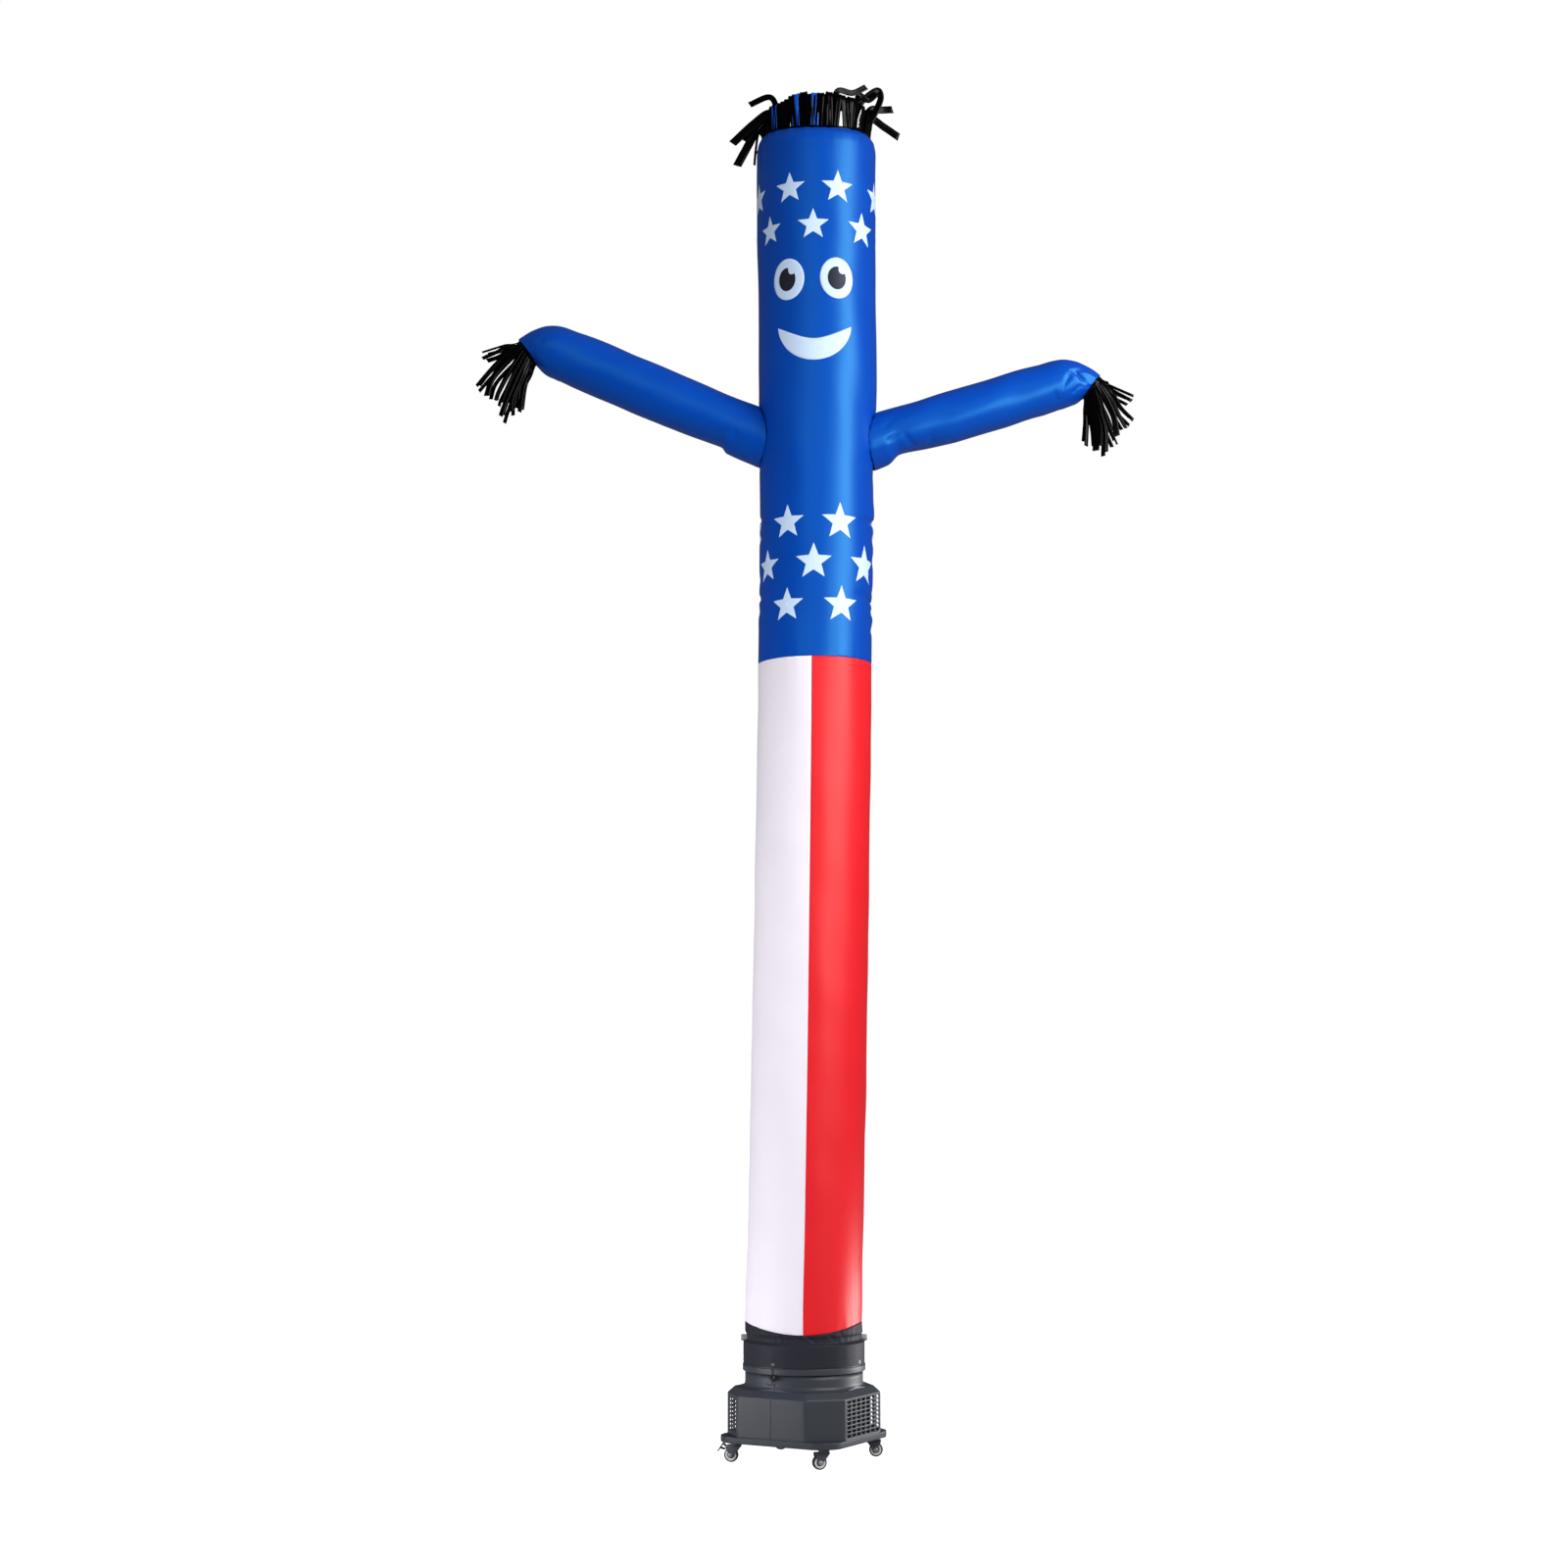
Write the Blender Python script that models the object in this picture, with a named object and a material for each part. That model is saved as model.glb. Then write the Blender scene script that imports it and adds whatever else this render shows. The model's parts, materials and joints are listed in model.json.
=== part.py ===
"""Inflatable air dancer: a sewn cloth tube figure that stands inflated on its blower.

Metres, +Z up, the floor at Z = 0 and the blower's vertical axis at X = Y = 0. Azimuths are in degrees,
measured round +Z from -Y, the front, towards +X. Every sheet of cloth is a thin shell between an outer
surface and the same surface moved in by the cloth's thickness.
"""

import math

import bpy
import numpy as np
from mathutils import Matrix, Vector

MM = 0.001
GAP = 0.4 * MM  # air between pieces that meet

# Cloth
CLOTH = 1.5 * MM
TUBE_COLUMNS = 30
SLEEVE_COLUMNS = 16

# The inflated tube from hem to crown: height, centre X and outer radius of each section.
SECTION_TABLE = (
    (0.365, 0.000, 0.2340),
    (0.446, 0.000, 0.2340),
    (0.457, 0.000, 0.2192),
    (0.470, 0.000, 0.2192),
    (0.486, -0.001, 0.2250),
    (0.524, -0.002, 0.2260),
    (0.850, 0.006, 0.2240),
    (1.450, 0.019, 0.2245),
    (2.220, 0.033, 0.2245),
    (2.840, 0.043, 0.2250),
    (3.080, 0.0455, 0.2245),
    (3.550, 0.052, 0.2270),
    (3.790, 0.0525, 0.2275),
    (4.270, 0.059, 0.2380),
    (4.520, 0.056, 0.2365),
    (4.760, 0.0545, 0.2390),
    (5.150, 0.0535, 0.2415),
    (5.300, 0.0530, 0.2415),
)
SKIRT_ROWS = (0.365, 0.446, 0.457, 0.470)
PANEL_ROWS = (0.850, 1.450, 2.220, 2.840)
WAIST_SEAM_Z = 3.082
CREASE_HALF = 0.022
# Creases that gather one flank of the waist: height, azimuth, depth.
WAIST_CREASES = (
    (3.320, 90.0, 0.013),
    (3.654, 90.0, 0.012),
)
CREASE_SPREAD = 38.0  # degrees to each side
UPPER_ROWS = (3.550, 3.790, 4.030, 4.270, 4.520, 4.760, 5.000)
# The crown gathers in below its rim: depth below the rim, how much radius is lost there.
CROWN_ROWS = ((0.060, 0.0), (0.022, 0.005), (0.0, 0.0185))

# Seam lines that dip at the front and the back
SKIRT_SEAM_Z = 0.5055
SKIRT_SEAM_DIP = 0.0185
RIM_Z = 5.2226
RIM_DIP = 0.0096
PANEL_SEAM_TOP_DEG = -4.0
PANEL_SEAM_FOOT_DEG = -1.0

# Sleeves: centre line X and Z, and outer radius, from inside the tube to the open cuff.
SLEEVE_LEFT = (
    (-0.080, 3.965, 0.1120),
    (-0.200, 4.017, 0.1110),
    (-0.300, 4.060, 0.1080),
    (-0.450, 4.125, 0.1090),
    (-0.700, 4.233, 0.1090),
    (-0.880, 4.311, 0.1090),
    (-0.950, 4.338, 0.1080),
    (-1.010, 4.364, 0.1040),
    (-1.060, 4.368, 0.0890),
    (-1.1086, 4.3526, 0.0640),
)
CUFF_LEFT_DIR = (-0.81, -0.59)
SLEEVE_RIGHT = (
    (0.180, 3.961, 0.1050),
    (0.310, 4.001, 0.1040),
    (0.400, 4.029, 0.1020),
    (0.550, 4.075, 0.1025),
    (0.780, 4.146, 0.1025),
    (0.960, 4.198, 0.1025),
    (1.030, 4.215, 0.1010),
    (1.080, 4.223, 0.0960),
    (1.122, 4.224, 0.0810),
    (1.158, 4.211, 0.0595),
)
CUFF_RIGHT_DIR = (0.79, -0.613)
ARM_HOLE = 0.1035

# Fringes are combs: a band and teeth cut into the same cloth
HAIR_BAND = 0.022
HAND_BAND = 0.012
HAND_BAND_SLACK = 1.2 * MM
TOOTH_GAP = 0.004
HAIR_TEETH = 36
# Standing hair: radius and height above the rim at the tooth's middle and tip
HAIR_STAND = ((0.232, 0.070), (0.222, 0.106), (0.172, 0.088))
HAIR_WAVE = 0.012
HAIR_START_DEG = 4.5
# Roots of the hair that flops outwards: radius and height above the rim
FLOP_ROOTS = ((0.240, 0.055), (0.262, 0.088))
# Hair that flops outwards: azimuth, then radius and height of knee and tip
HAIR_FLOPS = (
    (-100.0, 0.335, 5.300, 0.352, 5.215),
    (-76.0, 0.315, 5.290, 0.338, 5.127),
    (-62.0, 0.300, 5.345, 0.345, 5.325),
    (66.0, 0.290, 5.350, 0.330, 5.395),
    (78.0, 0.290, 5.355, 0.338, 5.372),
    (102.0, 0.290, 5.330, 0.340, 5.252),
)
HAND_TEETH = 13
HAND_START_DEG = 9.0
HAND_FRINGE_ROWS = 3
# Hand fringes: how far below the level a tooth falls, by its place on the cuff from bottom to top
FALL_PLACES = (-1.0, -0.3, 0.5, 1.0)
FALL_LEFT = (76.0, 64.0, 48.0, 26.0)
FALL_RIGHT = (88.0, 74.0, 55.0, 35.0)
TOOTH_LENGTH = 0.248
TOOTH_SHARES = (0.60, 0.86, 0.95, 0.92, 1.04, 0.96, 0.82, 0.80, 0.97, 1.0, 0.93, 0.90, 0.68)
FRINGE_SPREAD_Y = 0.045

# Eyelets in the hem: azimuths, and a ring that stands on the cloth
EYELET_DEGS = {"left": -30.5, "right": 65.0}
EYELET_Z = 0.3765
EYELET_FACE_R = 0.2331
EYELET_PROFILE = (
    (3.0 * MM, 0.0),
    (6.5 * MM, 0.0),
    (6.0 * MM, 1.0 * MM),
    (4.5 * MM, 1.4 * MM),
    (3.0 * MM, 1.0 * MM),
)
EYELET_HOLE = 2.8 * MM

# Drawcord: out of the left eyelet, down through the lock, and a curl. Radius, aside to the right, height.
CORD_DEG = EYELET_DEGS["left"]
CORD_D = 3 * MM
CORD_HANG_R = 0.2405
CORD_ROUTE = (
    (0.2316, 0.0, EYELET_Z),
    (0.2350, 0.0, 0.3762),
    (0.2388, 0.0, 0.3738),
    (CORD_HANG_R, 0.0, 0.3690),
    (CORD_HANG_R, 0.0, 0.3560),
    (CORD_HANG_R, 0.0, 0.3430),
    (CORD_HANG_R, 0.0, 0.3360),
    (CORD_HANG_R, 0.0, 0.3260),
    (CORD_HANG_R, 0.0, 0.3160),
    (CORD_HANG_R, 0.0, 0.3120),
    (CORD_HANG_R, -0.0030, 0.3050),
    (CORD_HANG_R, -0.0095, 0.3008),
    (CORD_HANG_R, -0.0170, 0.3020),
    (CORD_HANG_R, -0.0215, 0.3080),
)
CORD_STEP = 2.2 * CORD_D
# Spring cord lock: a barrel across the cord with a round button at its front end
LOCK_AXIS_DEG = 27.0
LOCK_Z = 0.3265
LOCK_BACK = 8 * MM
LOCK_PROFILE = (
    (0.0, 6.5 * MM),
    (1.5 * MM, 8.5 * MM),
    (13.0 * MM, 8.5 * MM),
    (14.0 * MM, 6.0 * MM),
    (17.0 * MM, 6.0 * MM),
    (17.5 * MM, 10.0 * MM),
    (22.0 * MM, 10.5 * MM),
    (24.5 * MM, 7.5 * MM),
)
LOCK_BORE = CORD_D / 2 + 0.4 * MM

# Blower housing: a square of half side 257 mm with cut corners, turned 29.5 degrees
HOUSING_R = 0.2956
HOUSING_CORNERS = (0.0, 31.0, 90.0, 121.0, 180.0, 211.0, 270.0, 301.0)
PARTING_DEG = -29.5
PARTING_R = 0.240  # radius at which the gap between the halves is measured
HOUSING_FOOT = 0.1013
BEVEL_FOOT = 0.254
BEVEL_TOP = 0.278
BEVEL_IN = 0.026
WALL = 3 * MM
COLUMN_STEP = 12.0
NECK_R = 0.2270
NECK_TOP = 0.3386
# The top sweeps up into the neck: radius past the neck, height over the bevel
NECK_SWEEP = ((12 * MM, 1.5 * MM), (2 * MM, 9 * MM), (0.0, 18 * MM))
SIDE_NORMAL_DEG = 60.5
SIDE_APOTHEM = 0.2570
CHAMFER_NORMAL_DEG = 105.5
CHAMFER_APOTHEM = 0.2850
HOLE = (28 * MM, 10 * MM)
HOLE_PITCH = (38 * MM, 15.5 * MM)
SIDE_HOLES = (7, 9)
CHAMFER_HOLES = (3, 8)
GRILLE_Z = 0.1785

# Outlet collar: a turned ring, and two pegs that hold the skirt
COLLAR_SEGMENTS = 40
COLLAR_PROFILE = (
    (0.2125, 0.3220),
    (0.2205, 0.3220),
    (0.2205, 0.3390),
    (0.2365, 0.3390),
    (0.2365, 0.3610),
    (0.2305, 0.3610),
    (0.2305, 0.4410),
    (0.2160, 0.4460),
    (0.2160, 0.4760),
    (0.2105, 0.4760),
    (0.2105, 0.3450),
)
PEG_D = 26 * MM
PEG_REACH = 0.245
PEG_Z = 0.459
BUTTONHOLE_D = 31 * MM
BUTTONHOLE_CUT = (0.190, 0.270)  # the cutter runs between these distances from the axis

# Base plate
PLATE_HALF = 0.2585
PLATE_CORNER = 0.092
PLATE_FOOT = 0.077
PLATE_TOP = 0.101
PLATE_EDGE = 2 * MM

# Cable gland on the back face, beside the parting seam
GLAND_DEG = 150.5
GLAND_ASIDE = 0.075
GLAND_Z = 0.140
GLAND_PROFILE = ((0.0, 13 * MM), (6 * MM, 13 * MM), (7 * MM, 10 * MM), (17 * MM, 10 * MM), (24 * MM, 6 * MM))

# Casters: on the plate's corners; the wheel trails behind the swivel
CASTER_RADIUS = 0.270
CASTERS = (
    ("front", 15.5, 197.0),
    ("right", 105.5, -6.0),
    ("rear", 195.5, 186.0),
    ("left", 285.5, 168.0),
)
TRAIL = 18 * MM
WHEEL_R = 27 * MM
WHEEL_WIDTH = 21 * MM
WHEEL_SEGMENTS = 20
HUB_R = 21 * MM
AXLE_R = 4 * MM
RUNNING = 0.3 * MM
CHEEK_IN = 12 * MM
CHEEK = 2.2 * MM
CROWN_Z = (0.0600, 0.0640)
SWIVEL_TOP = 0.0730
CASTER_PLATE = 58 * MM
CASTER_PLATE_Z = (0.0738, 0.0766)
# Across the swivel, in the caster's own X and Z: X runs from the swivel axis towards the wheel
FORK_BACK = -0.0190
FORK_FRONT = 0.0370
CROWN_FRONT = 0.0275
RACE_FOOT = 0.0610
RACE_PROFILE = ((0.0, 0.0190), (0.004, 0.0210), (0.011, 0.0210), (0.012, 0.0200))
PEDAL_PIN = (0.0330, 0.0550)
PEDAL_PIN_R = 2 * MM
PEDAL_KNUCKLE_R = 3 * MM
PEDAL_LOOP = ((0.0500, 0.0685), (0.0335, 0.0552), (0.0435, 0.0475), (0.0605, 0.0535))
PEDAL_TREAD = ((0.0490, 0.0705), (0.0700, 0.0400))
PEDAL_ARM_DEEP = 4.4 * MM
PEDAL_ARM_THICK = 2.2 * MM
PEDAL_TREAD_THICK = 3 * MM

MATERIALS = {
    "blue_polyester": ((0.000, 0.065, 0.434), 0.42, 0.0),
    "white_polyester": ((0.76, 0.70, 0.80), 0.50, 0.0),
    "red_polyester": ((0.81, 0.008, 0.014), 0.42, 0.0),
    "black_polyester": ((0.013, 0.011, 0.014), 0.45, 0.0),
    "black_moulding": ((0.010, 0.010, 0.011), 0.35, 0.0),
    "grey_moulding": ((0.082, 0.088, 0.105), 0.48, 0.0),
    "light_moulding": ((0.25, 0.25, 0.26), 0.45, 0.0),
    "dark_steel": ((0.050, 0.053, 0.070), 0.45, 0.6),
    "black_rubber": ((0.008, 0.008, 0.009), 0.60, 0.0),
    "white_moulding": ((0.62, 0.62, 0.60), 0.40, 0.0),
    "bright_steel": ((0.70, 0.70, 0.69), 0.25, 1.0),
}


# ---------------------------------------------------------------- helpers
def clear_scene():
    for obj in list(bpy.data.objects):
        bpy.data.objects.remove(obj, do_unlink=True)


def material(name):
    found = bpy.data.materials.get(name)
    if found:
        return found
    colour, roughness, metallic = MATERIALS[name]
    made = bpy.data.materials.new(name)
    made.use_nodes = True
    shader = made.node_tree.nodes["Principled BSDF"]
    shader.inputs["Base Color"].default_value = (*colour, 1.0)
    shader.inputs["Roughness"].default_value = roughness
    shader.inputs["Metallic"].default_value = metallic
    return made


def add_object(name, points, faces, finish=None):
    mesh = bpy.data.meshes.new(name)
    mesh.from_pydata([tuple(p) for p in points], [], [tuple(f) for f in faces])
    mesh.update()
    obj = bpy.data.objects.new(name, mesh)
    bpy.context.scene.collection.objects.link(obj)
    if finish:
        mesh.materials.append(material(finish))
    return obj


def smooth(obj, angle=40.0):
    obj.data.shade_smooth()
    obj.data.set_sharp_from_angle(angle=math.radians(angle))
    return obj


def as_tool(obj):
    """A cutter or a part to join: it takes part in a Boolean and is left out itself."""
    obj.hide_render = True
    obj.display_type = "WIRE"
    return obj


def boolean(obj, tool, operation):
    step = obj.modifiers.new(operation.title() + " " + tool.name, "BOOLEAN")
    step.operation = operation
    step.solver = "EXACT"
    step.object = as_tool(tool)


def cut(obj, tool):
    boolean(obj, tool, "DIFFERENCE")


def join(obj, tool):
    boolean(obj, tool, "UNION")


def grid_faces(rows, columns, wrap, first=0, flip=False):
    """Quads of a rows x columns grid of points; wrap joins the last column to the first."""
    faces = []
    for row in range(rows - 1):
        for column in range(columns if wrap else columns - 1):
            after = (column + 1) % columns
            low, high = first + row * columns, first + (row + 1) * columns
            quad = (low + column, low + after, high + after, high + column)
            faces.append(quad[::-1] if flip else quad)
    return faces


def shell(name, outer, inner, wrap, finish):
    """A closed sheet between two grids of the same shape. Seen from outside, the columns run to the right."""
    rows, columns = outer.shape[:2]
    count = rows * columns
    points = np.concatenate([outer.reshape(-1, 3), inner.reshape(-1, 3)])
    faces = grid_faces(rows, columns, wrap) + grid_faces(rows, columns, wrap, count, flip=True)
    last = (rows - 1) * columns
    for column in range(columns if wrap else columns - 1):
        after = (column + 1) % columns
        faces.append((column, count + column, count + after, after))
        faces.append((last + column, last + after, count + last + after, count + last + column))
    if not wrap:
        right = columns - 1
        for row in range(rows - 1):
            low, high = row * columns, (row + 1) * columns
            faces.append((low, high, count + high, count + low))
            faces.append((low + right, count + low + right, count + high + right, high + right))
    return smooth(add_object(name, points, faces, finish), 60.0)


def capped(name, rings, finish=None):
    """A closed solid through a stack of rings, its first and last ring filled."""
    rows, columns = rings.shape[:2]
    faces = grid_faces(rows, columns, True)
    faces.append(tuple(range(columns))[::-1])
    faces.append(tuple((rows - 1) * columns + np.arange(columns)))
    return add_object(name, rings.reshape(-1, 3), faces, finish)


def turn(degrees):
    """The unit direction at an azimuth, as (X, Y)."""
    angle = np.radians(degrees)
    return np.sin(angle), -np.cos(angle)


def ring_points(radius, z, degrees, centre_x=0.0):
    """Points at each azimuth; radius and z may be arrays along the azimuths."""
    x, y = turn(np.asarray(degrees, float))
    z = np.broadcast_to(z, x.shape)
    return np.stack([centre_x + radius * x, radius * y, z], axis=-1)


def lathe(name, profile, segments, finish=None):
    """A solid ring: a closed profile of (radius, z), outer side upwards, turned round Z."""
    degrees = np.arange(segments) * 360.0 / segments
    grid = np.array([ring_points(radius, z, degrees) for radius, z in profile])
    rows = len(profile)
    faces = grid_faces(rows, segments, True)
    last = (rows - 1) * segments
    for column in range(segments):
        after = (column + 1) % segments
        faces.append((last + column, last + after, after, column))
    return smooth(add_object(name, grid.reshape(-1, 3), faces, finish))


def rod(name, start, end, profile, segments, finish=None):
    """A turned solid along start to end: profile rows are (distance along, radius)."""
    start, end = Vector(start), Vector(end)
    axis = (end - start).normalized()
    side = axis.orthogonal().normalized()
    across = axis.cross(side)
    angles = np.arange(segments) * 2 * math.pi / segments + math.pi / segments
    rings = np.array([
        [start + axis * along + (side * math.cos(a) + across * math.sin(a)) * radius for a in angles]
        for along, radius in profile
    ])
    return smooth(capped(name, rings, finish))


def prism(name, outline, low, high, finish=None):
    """An outline of (x, z), clockwise seen from -Y, carried from y = low to y = high."""
    rings = np.array([[(x, y, z) for x, z in outline] for y in (low, high)])
    obj = capped(name, rings, finish)
    if sum(a[0] * b[1] - b[0] * a[1] for a, b in zip(outline, outline[1:] + outline[:1])) > 0:
        obj.data.flip_normals()
    return obj


def box(name, low, high, finish=None):
    outline = [(low[0], low[2]), (low[0], high[2]), (high[0], high[2]), (high[0], low[2])]
    return prism(name, outline, low[1], high[1], finish)


def place(obj, origin, degrees):
    """Applies a turn about Z and a move to the mesh's object."""
    obj.matrix_world = Matrix.Translation(origin) @ Matrix.Rotation(math.radians(degrees), 4, "Z")
    return obj


# ---------------------------------------------------------------- the inflated tube
def section(z):
    """Centre X and outer radius of the tube at height z."""
    heights, centres, radii = np.array(SECTION_TABLE).T
    return np.interp(z, heights, centres), np.interp(z, heights, radii)


def panel_seam(z):
    """Azimuth of the front seam between the white and the red panel."""
    return np.interp(z, (0.5, WAIST_SEAM_Z), (PANEL_SEAM_FOOT_DEG, PANEL_SEAM_TOP_DEG))


def dipping(level, dip, degrees):
    """A seam line that is low at the front and the back and high at the sides."""
    return level - dip * np.cos(2 * np.radians(degrees))


def creases(z, degrees):
    """Depth of the waist's creases at a height, along the azimuths."""
    depth = np.zeros_like(degrees)
    for height, azimuth, deepest in WAIST_CREASES:
        across = max(0.0, 1.0 - abs(z - height) / CREASE_HALF)
        off = (degrees - azimuth + 180.0) % 360.0 - 180.0
        depth += deepest * across * np.cos(np.pi / 2 * np.clip(off / CREASE_SPREAD, -1, 1)) ** 2
    return depth


def tube_row(z, degrees, inward=0.0, crown_loss=0.0):
    """Points of the tube's surface at the azimuths; z is one height or one for each azimuth."""
    z = np.broadcast_to(np.asarray(z, float), degrees.shape)
    centre, radius = section(z)
    radius = radius - crown_loss - inward
    if np.ptp(z) == 0:
        radius = radius - creases(z[0], degrees)
    x, y = turn(degrees)
    return np.stack([centre + radius * x, radius * y, z], axis=-1)


def columns_at(z, count=TUBE_COLUMNS):
    return panel_seam(z) + np.arange(count) * 360.0 / count


def sheet_pair(rows):
    """Outer and inner grids of tube rows, each given as (z, degrees, crown loss)."""
    outer = np.array([tube_row(z, degrees, 0.0, loss) for z, degrees, loss in rows])
    inner = np.array([tube_row(z, degrees, CLOTH, loss) for z, degrees, loss in rows])
    return outer, inner


def upper_rows():
    rows = [WAIST_SEAM_Z + GAP / 2]
    for height, _azimuth, _depth in WAIST_CREASES:
        rows += [height - CREASE_HALF, height, height + CREASE_HALF]
    return sorted(rows + list(UPPER_ROWS))


def make_upper():
    degrees = columns_at(WAIST_SEAM_Z)
    rows = [(z, degrees, 0.0) for z in upper_rows()]
    rim = dipping(RIM_Z, RIM_DIP, degrees)
    rows += [(rim - depth, degrees, loss) for depth, loss in CROWN_ROWS]
    upper = shell("body_upper", *sheet_pair(rows), True, "blue_polyester")
    for side, sleeve in (("left", SLEEVE_LEFT), ("right", SLEEVE_RIGHT)):
        cut(upper, arm_hole(side, sleeve))
    return upper


def arm_hole(side, sleeve):
    """A cutter along the first stretch of a sleeve."""
    start = Vector((sleeve[0][0], 0.0, sleeve[0][1]))
    end = Vector((sleeve[3][0], 0.0, sleeve[3][1]))
    length = (end - start).length
    return rod("arm_hole_" + side, start, end, ((0.0, ARM_HOLE), (length, ARM_HOLE)), SLEEVE_COLUMNS)


def make_panel(name, first, last, finish):
    """Half of the lower tube, from column first to column last of the ring, between two seams."""
    rows = []
    heights = [None, *PANEL_ROWS, WAIST_SEAM_Z - GAP / 2]
    for height in heights:
        z = SKIRT_SEAM_Z if height is None else height
        radius = section(z)[1]
        trim = math.degrees(GAP / 2 / radius)
        degrees = columns_at(z)[0] + np.arange(first, last + 1) * 360.0 / TUBE_COLUMNS
        degrees[0] += trim
        degrees[-1] -= trim
        if height is None:
            z = dipping(SKIRT_SEAM_Z, SKIRT_SEAM_DIP, degrees) + GAP / 2
        rows.append((z, degrees, 0.0))
    return shell(name, *sheet_pair(rows), False, finish)


def make_skirt():
    degrees = columns_at(SKIRT_SEAM_Z)
    rows = [(z, degrees, 0.0) for z in SKIRT_ROWS]
    rows.append((dipping(SKIRT_SEAM_Z, SKIRT_SEAM_DIP, degrees) - GAP / 2, degrees, 0.0))
    skirt = shell("skirt", *sheet_pair(rows), True, "black_polyester")
    for side, sign in (("left", -1), ("right", 1)):
        near, far = BUTTONHOLE_CUT
        profile = ((0.0, BUTTONHOLE_D / 2), (far - near, BUTTONHOLE_D / 2))
        start, end = (sign * near, 0.0, PEG_Z), (sign * far, 0.0, PEG_Z)
        cut(skirt, rod("buttonhole_" + side, start, end, profile, 16))
    for side, azimuth in EYELET_DEGS.items():
        x, y = turn(azimuth)
        near, far = EYELET_FACE_R - 10 * MM, EYELET_FACE_R + 5 * MM
        profile = ((0.0, EYELET_HOLE), (far - near, EYELET_HOLE))
        start, end = (near * x, near * y, EYELET_Z), (far * x, far * y, EYELET_Z)
        cut(skirt, rod("eyelet_hole_" + side, start, end, profile, 10))
    return skirt


# ---------------------------------------------------------------- sleeves
def sweep_frames(table, end_dir):
    """Centre, direction and upward normal of each section of a sleeve, in the plane Y = 0."""
    centres = np.array([(x, 0.0, z) for x, z, _radius in table])
    dirs = np.gradient(centres, axis=0)
    dirs[-1] = (end_dir[0], 0.0, end_dir[1])
    dirs /= np.linalg.norm(dirs, axis=1)[:, None]
    ups = np.cross(dirs, (0.0, 1.0, 0.0))
    ups *= np.sign(dirs[:, :1])
    return centres, dirs, ups


def sleeve_grid(table, end_dir, inward):
    """Rings of a sleeve; the columns run so that a shell of them faces outwards."""
    centres, dirs, ups = sweep_frames(table, end_dir)
    angles = np.arange(SLEEVE_COLUMNS) * 2 * math.pi / SLEEVE_COLUMNS
    angles *= np.sign(dirs[0, 0])
    radii = np.array([row[2] for row in table]) - inward
    forward = np.array((0.0, -1.0, 0.0))
    spokes = np.cos(angles)[None, :, None] * ups[:, None, :] + np.sin(angles)[None, :, None] * forward
    return centres[:, None, :] + radii[:, None, None] * spokes


def make_sleeve(side, table, end_dir):
    outer = sleeve_grid(table, end_dir, 0.0)
    inner = sleeve_grid(table, end_dir, CLOTH)
    sleeve = shell("sleeve_" + side, outer, inner, True, "blue_polyester")
    degrees = columns_at(WAIST_SEAM_Z)
    rows = [z for z in upper_rows() if 3.6 < z < 4.9]
    grown = np.array([tube_row(z, degrees, -GAP) for z in rows])
    cut(sleeve, capped("tube_core_" + side, grown))
    return sleeve


# ---------------------------------------------------------------- fringes
def comb(name, band, teeth, finish):
    """A ring band whose upper edge runs on into teeth: one sheet, given its thickness by Solidify.

    band is a (2, 2 * teeth, 3) grid, its columns being each tooth's two sides in turn; each tooth is a
    (rows, 2, 3) grid that goes on from the band's upper edge.
    """
    count = band.shape[1]
    points = [band.reshape(-1, 3)]
    faces = grid_faces(2, count, True)
    first = 2 * count
    for index, tooth in enumerate(teeth):
        left, right = count + 2 * index, count + 2 * index + 1
        for row in range(len(tooth)):
            here = first + 2 * row
            faces.append((left, right, here + 1, here))
            left, right = here, here + 1
        points.append(tooth.reshape(-1, 3))
        first += 2 * len(tooth)
    obj = add_object(name, np.concatenate(points), faces, finish)
    thick = obj.modifiers.new("Cloth thickness", "SOLIDIFY")
    thick.thickness = CLOTH
    thick.offset = -1.0
    thick.use_rim = True
    return obj


def tooth_sides(count, radius, start):
    """Azimuths of the two sides of each tooth, in turn, round a ring of this radius."""
    pitch = 360.0 / count
    half = pitch / 2 - math.degrees(TOOTH_GAP / 2 / radius)
    middles = start + np.arange(count) * pitch
    return middles, half, np.stack([middles - half, middles + half], axis=1).reshape(-1)


def make_hair():
    centre, radius = section(RIM_Z)
    radius = (radius - CROWN_ROWS[-1][1] - CLOTH) * math.cos(math.pi / TUBE_COLUMNS) - GAP
    middles, half, sides = tooth_sides(HAIR_TEETH, radius, HAIR_START_DEG)
    rim = dipping(RIM_Z, RIM_DIP, sides)
    band = np.array([ring_points(radius, z, sides, centre) for z in (rim - HAIR_BAND, rim)])
    flops = {int(np.argmin(np.abs((middles - row[0] + 180) % 360 - 180))): row for row in HAIR_FLOPS}
    teeth = []
    for index, middle in enumerate(middles):
        edge = dipping(RIM_Z, RIM_DIP, middle)
        wave = HAIR_WAVE * math.sin(2.1 * index) + 0.5 * HAIR_WAVE * math.sin(0.83 * index + 1.0)
        if index in flops:
            _azimuth, knee_r, knee_z, tip_r, tip_z = flops[index]
            line = [(r, edge + rise) for r, rise in FLOP_ROOTS]
            line += [(knee_r, knee_z), (tip_r, tip_z)]
        else:
            line = [(r, edge + rise + wave * rise / HAIR_STAND[1][1]) for r, rise in HAIR_STAND]
        wide = radius * math.radians(half)
        rows = []
        for r, z in line:
            spread = min(half, math.degrees(wide / r)) if r > radius else half
            rows.append(ring_points(r, z, (middle - spread, middle + spread), centre))
        teeth.append(np.array(rows))
    return comb("fringe_hair", band, teeth, "black_polyester")


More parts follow.
